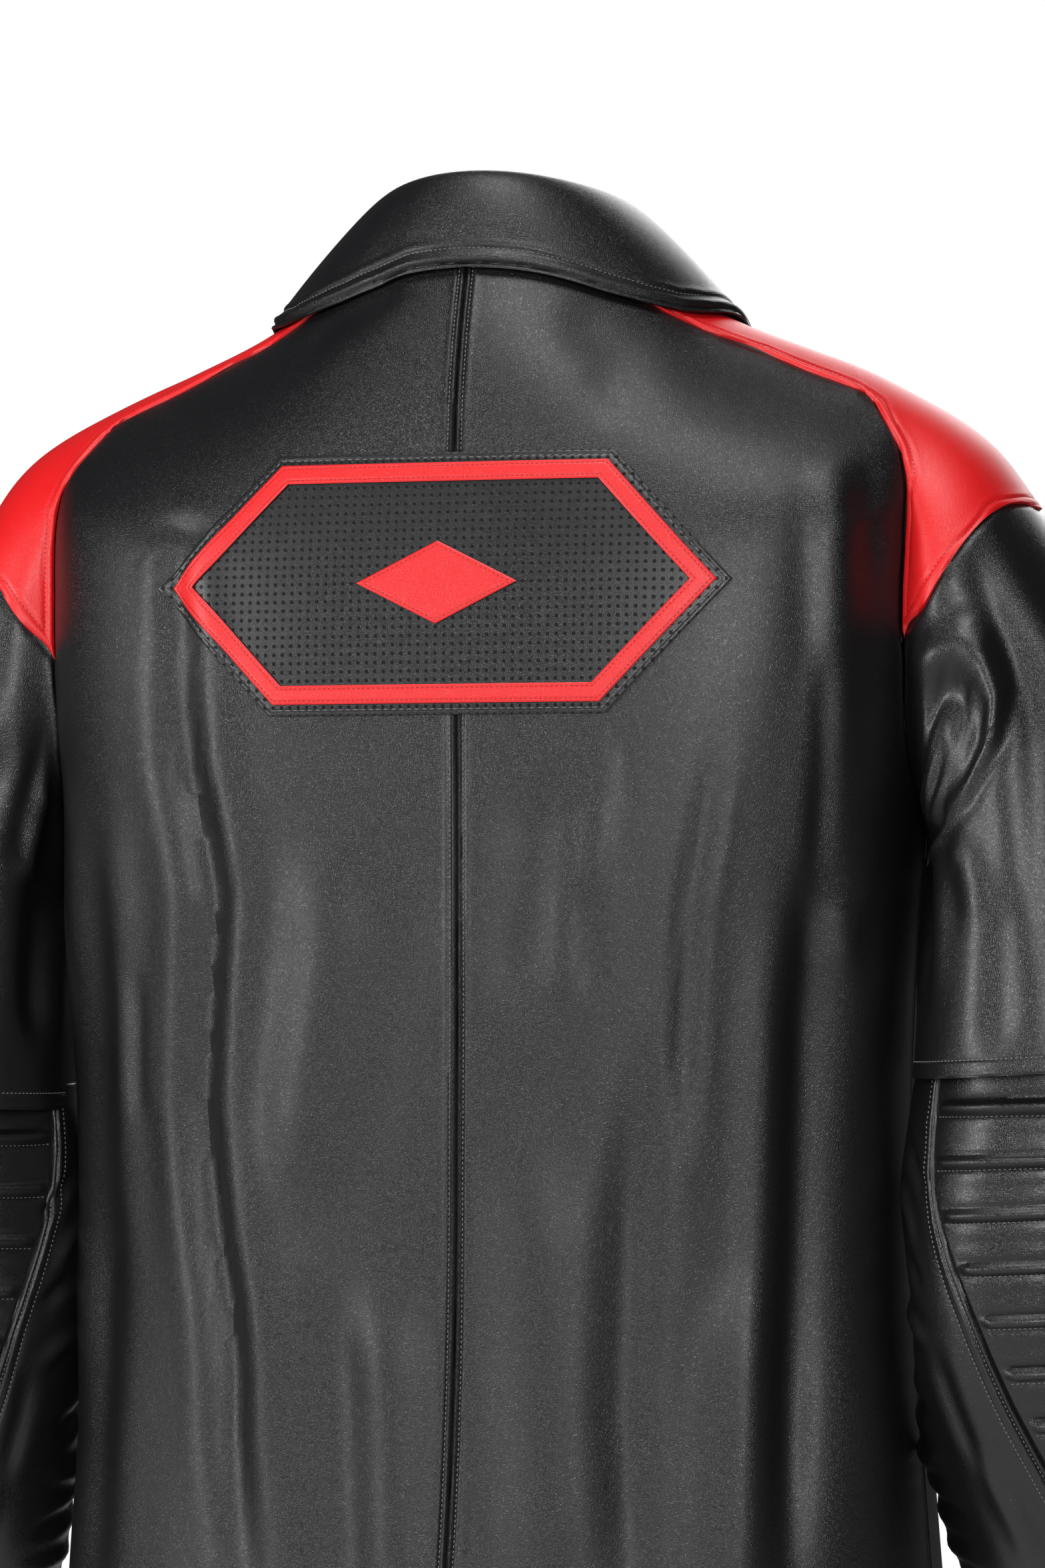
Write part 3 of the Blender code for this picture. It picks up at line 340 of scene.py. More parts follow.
LOWER_CREASES = (
    (((168, 62), (150, 80), (138, 92)), 3.6, -2.0, 0.0),
    (((176, 84), (158, 104), (146, 122)), 4.0, 2.0, 0.0),
    (((170, 118), (152, 128), (138, 142)), 4.0, -2.2, 0.0),
    (((180, 150), (156, 160), (134, 176)), 4.5, 2.4, 0.0),
    (((204, 186), (172, 204), (146, 213)), 5.0, -3.2, 0.0),
    (((200, 222), (168, 237), (142, 238)), 4.5, 3.0, 0.0),
    (((194, 250), (166, 262), (138, 274)), 4.5, -3.2, 0.0),
    (((190, 280), (160, 290), (130, 300)), 4.5, 2.4, 0.0),
    (((122, 220), (108, 262), (100, 305)), 7.0, 2.2, 0.0),
    (((134, 168), (123, 214), (112, 262)), 6.0, -2.2, 0.0),
    (((100, 240), (88, 280), (84, 320)), 6.0, -2.0, 0.0),
    (((-30, 60), (-50, 110), (-46, 170)), 9.0, -3.2, 0.0),
    (((-64, 90), (-56, 150), (-70, 230)), 8.0, 2.8, 0.0),
    (((20, 190), (2, 240), (-10, 300)), 8.0, 2.6, 0.0),
    (((44, 230), (30, 290)), 7.0, -2.2, 0.0),
    (((230, 90), (244, 120), (262, 130)), 5.0, -3.4, 0.0),
    (((222, 140), (240, 160), (264, 166)), 5.0, 2.8, 0.0),
    (((226, 190), (246, 208), (266, 214)), 5.0, -3.2, 0.0),
)


# ---------------------------------------------------------------- curves
def column(table, names, name):
    """One named column of a table."""
    return table[:, names.index(name)]


def smooth(table, names, name, at):
    """A named column at the given first-column values, on a smooth curve through the rows."""
    x = table[:, 0]
    return hermite(x, column(table, names, name), at)


def stretch(knots, at):
    """The number of the stretch between knots that each value lies in."""
    return np.clip(np.searchsorted(knots, at, side="right") - 1, 0, len(knots) - 2)


def cubic(near, far, near_slope, far_slope, width, t):
    """The cubic from near to far with given slopes at its ends, at t from 0 to 1.

    near (1+2t)(1-t)^2 + far t^2 (3-2t) + near_slope width t (1-t)^2 - far_slope width t^2 (1-t)
    """
    return (near * (1 + 2 * t) * (1 - t) ** 2 + far * t * t * (3 - 2 * t)
            + near_slope * width * t * (1 - t) ** 2 - far_slope * width * t * t * (1 - t))


def hermite(x, y, at):
    """A cubic curve through the knots (x, y), whose slopes are the mean slopes either side."""
    slope = np.gradient(y, x, axis=0)
    k = stretch(x, at)
    width = x[k + 1] - x[k]
    t = (at - x[k]) / width
    if y.ndim > 1:
        t = t[..., None]
        width = width[..., None]
    return cubic(y[k], y[k + 1], slope[k], slope[k + 1], width, t)


def ease(low, high, value):
    """0 below low, 1 above high, with a soft start and end."""
    t = np.clip((value - low) / (high - low), 0.0, 1.0)
    return t * t * (3.0 - 2.0 * t)


def unit(vectors):
    """The vectors at length one."""
    return vectors / np.linalg.norm(vectors, axis=-1, keepdims=True)


def superellipse(angle, squareness):
    """Cosine and sine, pushed out towards the corners: 2 leaves the circle as it is."""
    c, s = np.cos(np.radians(angle)), np.sin(np.radians(angle))
    g = (np.abs(c) ** squareness + np.abs(s) ** squareness) ** (-1.0 / squareness)
    return c * g, s * g


def to_path(across, along, path):
    """Signed distance from points of a plane to a path, and the share of the path's length there.

    For each stretch of the path the nearest point is the foot of the perpendicular, kept within
    the stretch; the least distance over all stretches counts, with the sign of its side.
    """
    path = np.asarray(path, float)
    steps = np.linalg.norm(np.diff(path, axis=0), axis=1)
    total = steps.sum()
    best = np.full(across.shape, 1e9)
    share = np.zeros(across.shape)
    before = 0.0
    for start, end, length in zip(path[:-1], path[1:], steps):
        way = (end - start) / length
        du, dv = across - start[0], along - start[1]
        foot = np.clip(du * way[0] + dv * way[1], 0.0, length)
        gap = np.hypot(du - foot * way[0], dv - foot * way[1])
        side = np.where(du * way[1] - dv * way[0] >= 0.0, 1.0, -1.0)
        nearer = gap < np.abs(best)
        best = np.where(nearer, gap * side, best)
        share = np.where(nearer, (before + foot) / total, share)
        before += length
    return best, share


def crease_height(across, along, creases):
    """Sum of creases: a round trough or ridge with a low bank of the other sign on each side.

    height * (exp(-(d / w)^2) - CREASE_BANK * bank * exp(-((|d| - 2 w) / w)^2)), faded out at both
    ends; bank is 1 + lean * tanh(3 d / w), so one bank is higher than the other.
    """
    total = np.zeros(across.shape)
    for path, width, height, lean in creases:
        low = np.min(path, axis=0) - CREASE_REACH * width
        high = np.max(path, axis=0) + CREASE_REACH * width
        near = (across > low[0]) & (across < high[0]) & (along > low[1]) & (along < high[1])
        if not near.any():
            continue
        distance, share = to_path(across[near], along[near], path)
        fade = ease(0.0, CREASE_START, share) * (1.0 - ease(CREASE_END, 1.0, share))
        d = distance / width
        bank = 1.0 + lean * np.tanh(3.0 * d)
        beside = CREASE_BANK * bank * np.exp(-(np.abs(d) - 2.0) ** 2)
        total[near] += height * fade * (np.exp(-d * d) - beside)
    return total


def smooth_body(side, angle, drop):
    """The body without its folds, at an angle round it and a drop down it."""
    rings = hermite(BODY_RINGS[:, 0], BODY_RINGS[:, 1:], drop)
    half_width, side_z, back_y, back_z, front_y, front_z, squareness, sag = np.moveaxis(rings, -1, 0)
    c, s = superellipse(angle, squareness)
    behind = np.sin(np.radians(angle)) >= 0
    toward = np.sin(np.radians(angle)) ** 2
    middle_z = np.where(behind, back_z, front_z)
    z = side_z * (1 - toward) + middle_z * toward - sag * np.sin(np.radians(2 * angle)) ** 2
    x = side * half_width * c
    z = z - LEFT_SHOULDER_DROP * ease(*LEFT_SHOULDER_SIDE, x) * (1.0 - ease(*LEFT_SHOULDER_END, drop))
    return np.stack((x, np.where(behind, back_y, front_y) * s, z), axis=-1)


def body(side, angle, drop):
    """The body with its creases, those behind and those in front faded out towards the sides."""
    points, out = surface(smooth_body, side, angle, drop)
    x, y, z = points[..., 0], points[..., 1], points[..., 2]
    height = ease(*CREASE_DEPTHS, y) * crease_height(x, z, BACK_CREASES)
    height = height + ease(*CREASE_DEPTHS, -y) * crease_height(x, z, FRONT_CREASES)
    return points + out * height[..., None]


def surface(shape, side, angle, along):
    """Points of a surface and its outward normals."""
    angle, along = np.broadcast_arrays(np.asarray(angle, float), np.asarray(along, float))
    points = shape(side, angle, along)
    round_it = shape(side, angle + ANGLE_STEP, along) - shape(side, angle - ANGLE_STEP, along)
    down_it = shape(side, angle, along + ALONG_STEP) - points
    return points, unit(np.cross(down_it, round_it)) * side


def armhole(side, arm_angle):
    """Body angle and drop of the armhole seam at an arm angle."""
    c, s = superellipse(arm_angle, ARMHOLE_SQUARE)
    reach = np.where(s >= 0, ARMHOLE_BACK_ANGLE[side], ARMHOLE_FRONT_ANGLE)
    return reach * s + SIDE_SEAM_ANGLE * (1 - c) / 2, ARMHOLE_DROP - ARMHOLE_HALF * c


def string_rings(reaches, rings, reach):
    """Points at a reach along the arm, on smooth lines through rings of matching points."""
    slope = np.gradient(rings, reaches, axis=0)
    k = stretch(reaches, reach)
    width = (reaches[k + 1] - reaches[k])[..., None]
    t = (reach - reaches[k])[..., None] / width
    pick = tuple(np.indices(reach.shape))
    near, far = (k,) + pick, (k + 1,) + pick
    return cubic(rings[near], rings[far], slope[near], slope[far], width, t)


def arm_drop(side, reach):
    """How much lower this arm hangs at a reach."""
    return LEFT_ARM_DROP * ease(0.0, LEFT_ARM_DROP_OVER, reach) if side == LEFT else 0.0 * reach


TURNS = np.linspace(-180.0, 180.0, TURN_COUNT)


def on_ring(ring, arm_angle):
    """Points at given arm angles of a ring that is known at TURNS."""
    turned = (arm_angle + 180.0) % 360.0 - 180.0
    return np.stack([np.interp(turned, TURNS, ring[:, k]) for k in range(3)], axis=-1)


SEAM_RINGS = {side: body(side, *armhole(side, TURNS)) for side in (LEFT, RIGHT)}


def smooth_upper(side, arm_angle, reach):
    """The upper sleeve without folds."""
    c, s = superellipse(arm_angle, SLEEVE_ROUND)
    rings = [on_ring(SEAM_RINGS[side], arm_angle)]
    for _, out_x, out_z, in_x, in_z, mid_y, half_y in UPPER_RINGS:
        rings.append(np.stack((side * ((out_x + in_x) / 2 + (out_x - in_x) / 2 * c),
                               mid_y + half_y * s,
                               (out_z + in_z) / 2 + (out_z - in_z) / 2 * c), axis=-1))
    reaches = np.concatenate(([0.0], column(UPPER_RINGS, UPPER_COLUMNS, "reach")))
    points = string_rings(reaches, np.array(rings), reach)
    points[..., 2] -= arm_drop(side, reach)
    return points


def arm_height(arm_angle, reach, creases):
    """Height of an arm's creases; angles are taken from the front of the arm round behind it."""
    across = ((np.asarray(arm_angle) - ARM_FIRST_ANGLE) % 360.0 + ARM_FIRST_ANGLE) * ARM_MM
    unrolled = [(np.array(path) * (ARM_MM, 1.0), *rest) for path, *rest in creases]
    return crease_height(across, reach, unrolled)


def upper(side, arm_angle, reach):
    """The upper sleeve with its creases, which die away at its seam with the body."""
    points, out = surface(smooth_upper, side, arm_angle, reach)
    height = arm_height(arm_angle, reach, UPPER_CREASES[side]) * ease(0.0, UPPER_CREASES_IN, reach)
    return points + out * height[..., None]


def seat_ring(side, reach_below, draw_in):
    """The ring inside the upper sleeve that the lower one starts from, or draws in to below it."""
    seat, out = surface(upper, side, TURNS, np.full(len(TURNS), LOWER_SEAT + reach_below))
    return seat - out * (LEATHER + LOWER_SEAT_GAP + draw_in)


SEAT_RINGS = {side: (seat_ring(side, 0.0, 0.0), seat_ring(side, LOWER_TUCK, LOWER_TUCK_DEPTH))
              for side in (LEFT, RIGHT)}


def smooth_lower(side, arm_angle, reach):
    """The lower sleeve without folds: its first ring lies against the upper sleeve."""
    c, s = superellipse(arm_angle, SLEEVE_ROUND)
    rings = [on_ring(ring, arm_angle) for ring in SEAT_RINGS[side]]
    for _, mid_x, mid_y, mid_z, half_x, half_y in LOWER_RINGS:
        height = mid_z + RING_TILT * half_x * c - (LEFT_ARM_DROP if side == LEFT else 0.0)
        rings.append(np.stack((side * (mid_x + half_x * c), mid_y + half_y * s, height), axis=-1))
    reaches = np.concatenate(([0.0, LOWER_TUCK], column(LOWER_RINGS, LOWER_COLUMNS, "reach")))
    return string_rings(reaches, np.array(rings), reach)


def lower(side, arm_angle, reach):
    """The lower sleeve with its creases."""
    points, out = surface(smooth_lower, side, arm_angle, reach)
    twist = LEFT_ARM_TWIST if side == LEFT else 0.0
    height = arm_height(arm_angle - 0.5 * twist, reach, LOWER_CREASES)
    height = height + arm_height(arm_angle, reach, LOWER_PUFFS[side]) * ease(0.0, LOWER_PUFFS_IN, reach)
    return points + out * height[..., None]


# ---------------------------------------------------------------- reliefs along seams and edges
def distance_to(points, path):
    """Least distance from each point to a polyline in space."""
    best = np.full(points.shape[:-1], 1e9)
    for start, end in zip(path[:-1], path[1:]):
        way = end - start
        foot = np.clip(((points - start) @ way) / max(way @ way, 1e-9), 0.0, 1.0)
        gap = np.linalg.norm(points - start - foot[..., None] * way, axis=-1)
        best = np.minimum(best, gap)
    return best


def bump(d, at, width):
    """A round bump of height one at a distance."""
    return np.exp(-((d - at) / width) ** 2)


def bumps(d, *each):
    """Sum of bumps, each a (height, distance, half width) in millimetres."""
    return sum(height * bump(d, at, width) for height, at, width in each)


def doubled(d, depth, low, high, height):
    """Leather doubled under an edge: raised by a height as far in as its stitches."""
    return height * ease(0.0, low, d) * (1.0 - ease(depth - high, depth + 1.0, d))


def stitched_seam(d, stitch):
    """A seam sewn down on both sides: a groove, a full ridge beside it, a dip under the stitches."""
    return bumps(d, (-1.7, 0.0, 0.6), (0.8, 0.52 * stitch, 0.3 * stitch), (-0.9, stitch, 0.7),
                 (0.45, stitch + 2.0, 1.5))


def plain_seam(d):
    """A seam without stitches in sight: both edges turn down into a groove."""
    return bumps(d, (-1.5, 0.0, 1.1), (0.5, 2.8, 1.8))


def lapped_edge(d, stitch):
    """An edge that lies on its neighbour: proud, rounded off at the rim, dipped at its stitches."""
    return 0.9 + bumps(d, (-1.7, 0.0, 0.9), (0.35, 0.5 * stitch, 0.28 * stitch), (-0.55, stitch, 0.7),
                       (0.2, stitch + 1.9, 1.3))


def under_edge(d):
    """The edge that goes under a lapped one."""
    return -1.0 * bump(d, 0.0, 2.6)


def rolled_edge(d):
    """A turned free edge: its rim rounded, and the doubled leather a little proud."""
    return bumps(d, (-0.75, 0.0, 0.55), (0.35, 1.5, 1.2))


def applied_edge(d, stitch):
    """The rim of a piece sewn flat on the back: rounded, and dipped at its stitches."""
    return bumps(d, (-0.6, 0.0, 0.5), (-0.3, stitch, 0.5))


# ---------------------------------------------------------------- meshes
def shares(length, first, last, coarse):
    """Shares of a length: fine steps near the ends that have a seam, coarse ones between."""
    start = np.arange(0.0, first, FINE_STEP)
    end = np.arange(0.0, last, FINE_STEP)
    low = start[-1] + FINE_STEP if len(start) else 0.0
    high = length - (end[-1] + FINE_STEP if len(end) else 0.0)
    middle = np.linspace(low, high, max(2, int(round((high - low) / coarse)) + 1))
    return np.unique(np.concatenate((start, middle, length - end))) / length


def make_mesh(name, vertices, faces, material, sharp=50.0):
    """A shown piece of the jacket from points in millimetres."""
    mesh = bpy.data.meshes.new(name)
    mesh.from_pydata((vertices * MM).tolist(), [], faces.tolist())
    mesh.validate()
    mesh.shade_smooth()
    mesh.set_sharp_from_angle(angle=math.radians(sharp))
    mesh.materials.append(material)
    piece = bpy.data.objects.new(name, mesh)
    bpy.context.scene.collection.objects.link(piece)
    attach(piece, "root")
    return piece


def shell(name, outer, inner, out, material, closed=False):
    """A closed thin shell between two grids of points, its faces turned to the side of `out`."""
    columns, rows = outer.shape[:2]
    count = columns * rows
    spans = columns if closed else columns - 1
    i, j = np.meshgrid(np.arange(spans), np.arange(rows - 1), indexing="ij")
    a = (i * rows + j).ravel()
    b = ((i + 1) % columns * rows + j).ravel()
    quads = [np.stack((a, b, b + 1, a + 1), axis=1), np.stack((a, a + 1, b + 1, b), axis=1) + count]
    low = np.arange(spans) * rows
    high = (np.arange(spans) + 1) % columns * rows
    quads.append(np.stack((high, low, low + count, high + count), axis=1))
    top = rows - 1
    quads.append(np.stack((low + top, high + top, high + top + count, low + top + count), axis=1))
    if not closed:
        k = np.arange(rows - 1)
        end = (columns - 1) * rows + k
        quads.append(np.stack((k, k + 1, k + 1 + count, k + count), axis=1))
        quads.append(np.stack((end + 1, end, end + count, end + 1 + count), axis=1))
    quads = np.concatenate(quads)
    across, down = np.diff(outer, axis=0)[:, :-1], np.diff(outer, axis=1)[:-1]
    if np.sum(np.cross(across, down) * out[:-1, :-1]) < 0.0:
        quads = quads[:, ::-1]
    vertices = np.concatenate((outer.reshape(-1, 3), inner.reshape(-1, 3)))
    return make_mesh(name, vertices, quads, material)


def dress(name, shown, points, out, material, thickness=LEATHER, closed=False):
    """The shown piece in a solid's place; its inner face lies a wall's thickness inside the points."""
    piece = shell("leather_" + name, shown, points - out * thickness, out, material, closed)
    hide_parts(name)
    return piece


def line_at(points, out, distance, target):
    """Points and normals where the distance, growing along the first axis, crosses a target."""
    reached = distance >= target
    reached[0] = False
    k = np.argmax(reached, axis=0)
    found = k > 0
    m = np.arange(points.shape[1])[found]
    k = k[found]
    near, far = distance[k - 1, m], distance[k, m]
    t = np.clip((target - near) / np.maximum(far - near, 1e-6), 0.0, 1.0)[:, None]
    return (points[k - 1, m] * (1 - t) + points[k, m] * t,
            unit(out[k - 1, m] * (1 - t) + out[k, m] * t))


def line_by_end(points, out, distance, target):
    """The same for a distance that grows from the last row of the grid back along the second axis."""
    return line_at(points.transpose(1, 0, 2)[::-1], out.transpose(1, 0, 2)[::-1], distance.T[::-1],
                   target)


# A stitch: ends sunk into the holes, a rounded bar between. Columns: along, across, up.
STITCH_TEMPLATE = np.array(((-0.5, 0, -0.5), (-0.3, -0.5, 0.1), (-0.3, 0, 0.75), (-0.3, 0.5, 0.1),
                            (0.3, -0.5, 0.1), (0.3, 0, 0.75), (0.3, 0.5, 0.1), (0.5, 0, -0.5)))
STITCH_FACES = np.array(((0, 1, 2), (0, 2, 3), (1, 4, 5), (1, 5, 2),
                         (2, 5, 6), (2, 6, 3), (4, 7, 5), (5, 7, 6)))


def stitches(name, lines, pitch, thread, material, fill=0.7):
    """Rows of stitches along lines of (points, normals): one short rounded bar for each.

    Bars stand a pitch apart; each is `fill` of the pitch long and dips into its holes at both ends.
    """
    bars = []
    for points, out in lines:
        if len(points) < 2:
            continue
        length = np.concatenate(([0.0], np.cumsum(np.linalg.norm(np.diff(points, axis=0), axis=1))))
        count = int(length[-1] / pitch)
        at = (np.arange(count) + 0.5) * length[-1] / max(count, 1)

        def along(values, place):
            return np.stack([np.interp(place, length, values[:, k]) for k in range(3)], axis=1)

        up = unit(along(out, at))
        way = unit(along(points, at + 0.4 * pitch) - along(points, at - 0.4 * pitch))
        side = np.cross(up, way)
        t = STITCH_TEMPLATE[:, :, None, None]
        bar = along(points, at) + t[:, 0] * fill * pitch * way + thread * (t[:, 1] * side + t[:, 2] * up)
        bars.append(bar.transpose(1, 0, 2))
    bars = np.concatenate(bars)
    faces = STITCH_FACES[None] + np.arange(len(bars))[:, None, None] * len(STITCH_TEMPLATE)
    return make_mesh(name, bars.reshape(-1, 3), faces.reshape(-1, 3), material, sharp=180.0)


# ---------------------------------------------------------------- the body's panels
def yoke_points(side, facing, share):
    """The seam along the red shoulder: (angle, drop) at shares from the neck to the armhole."""
    end_angle, end_drop = armhole(side, facing * YOKE_CORNER)
    drop = share * end_drop
    angle = facing * smooth(YOKE_SEAM, YOKE_COLUMNS, "angle", drop)
    last = facing * smooth(YOKE_SEAM, YOKE_COLUMNS, "angle", end_drop)
    return angle + share ** 4 * (end_angle - last), drop


def middle_edge(side, facing, v):
    """Angle and drop down the middle of the back or front."""
    if facing == BEHIND:
        drop = np.interp(v, (0.0, MIDDLE_SHARE, 1.0), (0.0, MIDDLE_DROP, HEM_DROP))
    else:
        drop = np.interp(v, (0.0, FIRST_ROW_SHARE, MIDDLE_SHARE, 1.0),
                         (LAP_NECK_DROP, FIRST_ROW_DROP, MIDDLE_DROP, HEM_DROP))
    half_width = smooth(BODY_RINGS, BODY_COLUMNS, "half_width", drop)
    if facing == BEHIND:
        shift = smooth(CENTRE_SEAM, CENTRE_COLUMNS, "shift", drop)
        return 90.0 - side * np.degrees(np.arcsin(shift / half_width)), drop
    return -90.0 - np.degrees(np.arcsin(FRONT_LAP / half_width)), drop


def outer_edge(side, facing, v):
    """Angle and drop down the armhole and the side seam."""
    arm = facing * np.interp(v, (0.0, CAP_SHARE, UNDERARM_SHARE), (YOKE_CORNER, CAP_TIP_ANGLE, 180.0))
    angle, drop = armhole(side, arm)
    low = (v - UNDERARM_SHARE) / (1.0 - UNDERARM_SHARE)
    under = ARMHOLE_DROP + ARMHOLE_HALF
    below = v > UNDERARM_SHARE
    drop = np.where(below, under + low * (HEM_DROP - under), drop)
    return np.where(below, SIDE_SEAM_ANGLE, angle), drop


def top_edge(side, facing, u, start_angle, start_drop):
    """Angle and drop along the neck and the red shoulder's seam."""
    neck = BACK_NECK_SHARE if facing == BEHIND else FRONT_NECK_SHARE
    corner, _ = yoke_points(side, facing, np.zeros(1))
    yoke_angle, yoke_drop = yoke_points(side, facing, np.clip((u - neck) / (1.0 - neck), 0.0, 1.0))
    if facing == BEHIND:
        angle = np.interp(u, (0.0, neck), (start_angle, corner[0]))
        drop = 0.0 * u
    else:
        angle = np.interp(u, (0.0, FRONT_LAP_SHARE, neck),
                          (start_angle, COLLAR_END_ANGLE, corner[0]))
        drop = np.interp(u, (0.0, FRONT_LAP_SHARE), (start_drop, 0.0))
    return np.where(u > neck, yoke_angle, angle), np.where(u > neck, yoke_drop, drop)


def panel_grid(side, facing, u, v):
    """Angles and drops of a panel, stretched between its four edges.

    (1-u) first + u last + (1-v) top + v bottom, less the same blend of the four corners.
    """
    first = np.stack(middle_edge(side, facing, v), axis=-1)
    last = np.stack(outer_edge(side, facing, v), axis=-1)
    top = np.stack(top_edge(side, facing, u, *first[0]), axis=-1)
    u, v = u[:, None, None], v[None, :, None]
    bottom = first[-1] + (last[-1] - first[-1]) * u
    corners = ((1 - u) * (1 - v) * first[0] + u * (1 - v) * last[0]
               + (1 - u) * v * first[-1] + u * v * last[-1])
    grid = (1 - u) * first[None] + u * last[None] + (1 - v) * top[:, None] + v * bottom - corners
    return grid[..., 0], grid[..., 1]


def path_along(points):
    """A seam's line from a row of grid points, thinned out, with its last point."""
    return np.concatenate((points[:-1:PATH_STEP], points[-1:]))


def body_panel(name, side, facing, material, lines):
    """A back or front panel with its seams; adds its rows of stitches to `lines`."""
    u, v = (shares(*grid) for grid in (BACK_GRID if facing == BEHIND else FRONT_GRID))
    neck = BACK_NECK_SHARE if facing == BEHIND else FRONT_NECK_SHARE
    angle, drop = panel_grid(side, facing, u, v)
    points, out = surface(body, side, angle, drop)
    red = np.concatenate((points[u >= neck, 0], points[-1, v <= CAP_SHARE][1:]))
    middle = distance_to(points, path_along(points[0]))
    to_red = distance_to(points, path_along(red))
    outer = distance_to(points, path_along(points[-1, v >= CAP_SHARE]))
    hem = distance_to(points, path_along(points[:, -1]))
    height = under_edge(to_red) + plain_seam(outer) + rolled_edge(hem)
    height += doubled(hem, HEM_STITCH, 4.0, 3.0, 0.5) + bumps(hem, (-0.45, HEM_STITCH, 0.9))
    if facing == BEHIND:
        height += stitched_seam(middle, CENTRE_STITCH)
        lines.append(line_at(points, out, middle, CENTRE_STITCH))
    elif side == LEFT:
        height += rolled_edge(middle) + bumps(middle, (-0.45, LAP_STITCH, 0.8))
        lines.append(line_at(points, out, middle, LAP_STITCH))
    else:
        under = 1.0 - ease(*LAP_RISE, side * points[..., 0])
        points = points - out * (LAP_DEPTH * under)[..., None]
        height += rolled_edge(middle)
    shown = points + out * height[..., None]
    lines.append(line_by_end(shown, out, hem, HEM_STITCH))
    return dress(name, shown, points, out, material)


# ---------------------------------------------------------------- the red shoulders
def cap_edge(arm_angle):
    """Reach of the red piece's lower edge at an arm angle, 0 past its points."""
    t = np.minimum(np.abs(arm_angle) / CAP_TIP_ANGLE, 1.0)
    return CAP_DEPTH * (1.0 - t ** CAP_CURVE)


def shoulder(name, side, material, lines):
    """The red piece, from the neck over the shoulder and the sleeve cap to its lower edge."""
    across = 1.0 - 2.0 * shares(*SHOULDER_ACROSS)
    along = shares(*SHOULDER_ALONG)
    split = np.searchsorted(along, YOKE_SHARE)
    along = np.insert(along, split, YOKE_SHARE)
    s, r = np.meshgrid(across, along[:split + 1] / YOKE_SHARE, indexing="ij")
    edge, end = (np.where(s >= 0, yoke_points(side, BEHIND, share)[0], yoke_points(side, AHEAD, share)[0])
                 for share in (r, np.ones(1)))
    end_angle, end_drop = armhole(side, s * YOKE_CORNER)
    high, high_out = surface(body, side, edge * end_angle / end, r * end_drop)
    s, r = np.meshgrid(across, (along[split:] - YOKE_SHARE) / (1.0 - YOKE_SHARE), indexing="ij")
    arm = s * (YOKE_CORNER + (CAP_TIP_ANGLE - YOKE_CORNER) * r)
    low, low_out = surface(upper, side, arm, r * cap_edge(CAP_TIP_ANGLE * s))
    high_out[:, -1] = unit(high_out[:, -1] + low_out[:, 0])
    points = np.concatenate((high, low[:, 1:]), axis=1)
    out = np.concatenate((high_out, low_out[:, 1:]), axis=1)
    points, out = eased_over(points, out, split)
    path = np.concatenate((points[0, :-1:PATH_STEP], points[::PATH_STEP, -1],
                           points[-1, -1:0:-PATH_STEP], points[-1, :1]))
    sides = distance_to(points, path)
    height = lapped_edge(sides, RED_STITCH)
    shown = points + out * height[..., None]
    half = len(across) // 2
    lines.append(line_at(shown[:half], out[:half], sides[:half], RED_STITCH))
    lines.append(line_at(shown[:half:-1], out[:half:-1], sides[:half:-1], RED_STITCH))
    lines.append(line_by_end(shown[:, -split:], out[:, -split:], sides[:, -split:], RED_STITCH))
    return dress(name, shown, points, out, material)


def eased_over(points, out, row):
    """The points with the corner at the armhole rounded: a running mean along the rows near it."""
    soft = points.copy()
    for _ in range(EASE_PASSES):
        soft[:, 1:-1] = 0.25 * soft[:, :-2] + 0.5 * soft[:, 1:-1] + 0.25 * soft[:, 2:]
    rows = np.arange(points.shape[1])
    share = np.linspace(-1.0, 1.0, points.shape[0])
    weight = bump(rows, row, EASE_ROWS)[None, :] * (1.0 - ease(EASE_END, 1.0, np.abs(share)))[:, None]
    points = points + (soft - points) * weight[..., None]
    across, down = np.gradient(points, axis=0), np.gradient(points, axis=1)
    turned = unit(np.cross(across, down))
    turned = turned * np.sign(np.sum(turned * out, axis=-1))[..., None]
    return points, unit(out + (turned - out) * np.minimum(1.0, 2.0 * weight)[..., None])


# ---------------------------------------------------------------- sleeves
def upper_sleeve(name, side, material, lines):
    """The short over-sleeve, a tube from the red piece and the armhole to its free hem."""
    angles = np.linspace(180.0, -180.0, UPPER_AROUND + 1)[:-1]
    share = shares(*UPPER_ALONG)
    start = cap_edge(angles)[:, None]
    reach = start + (UPPER_RINGS[-1, 0] - start) * share[None]
    points, out = surface(upper, side, np.broadcast_to(angles[:, None], reach.shape), reach)
    capped = np.abs(angles) <= CAP_TIP_ANGLE
    to_red = distance_to(points, path_along(points[capped, 0]))
    under = np.concatenate((points[angles < -CAP_TIP_ANGLE, 0], points[angles > CAP_TIP_ANGLE, 0]))
    to_body = distance_to(points, path_along(under))
    hem = distance_to(points, path_along(np.concatenate((points[:, -1], points[:1, -1]))))
    height = under_edge(to_red) + plain_seam(to_body) + rolled_edge(hem)
    height += doubled(hem, OVER_HEM_STITCH, 3.0, 2.0, 0.4) + bumps(hem, (-0.4, OVER_HEM_STITCH, 0.8))
    shown = points + out * height[..., None]
    lines.append(line_by_end(shown, out, hem, OVER_HEM_STITCH))
    return dress(name, shown, points, out, material, closed=True)


def panel_edges(side, reach):
    """Arm angles of the elbow panel's inner and outer seams."""
    reach = np.minimum(reach, PANEL_POINT_REACH)
    twist = LEFT_ARM_TWIST if side == LEFT else 0.0
    inner = smooth(PANEL_SEAMS, PANEL_COLUMNS, "inner", reach)
    outer = smooth(PANEL_SEAMS, PANEL_COLUMNS, "outer", reach)
    return inner + twist, outer + twist


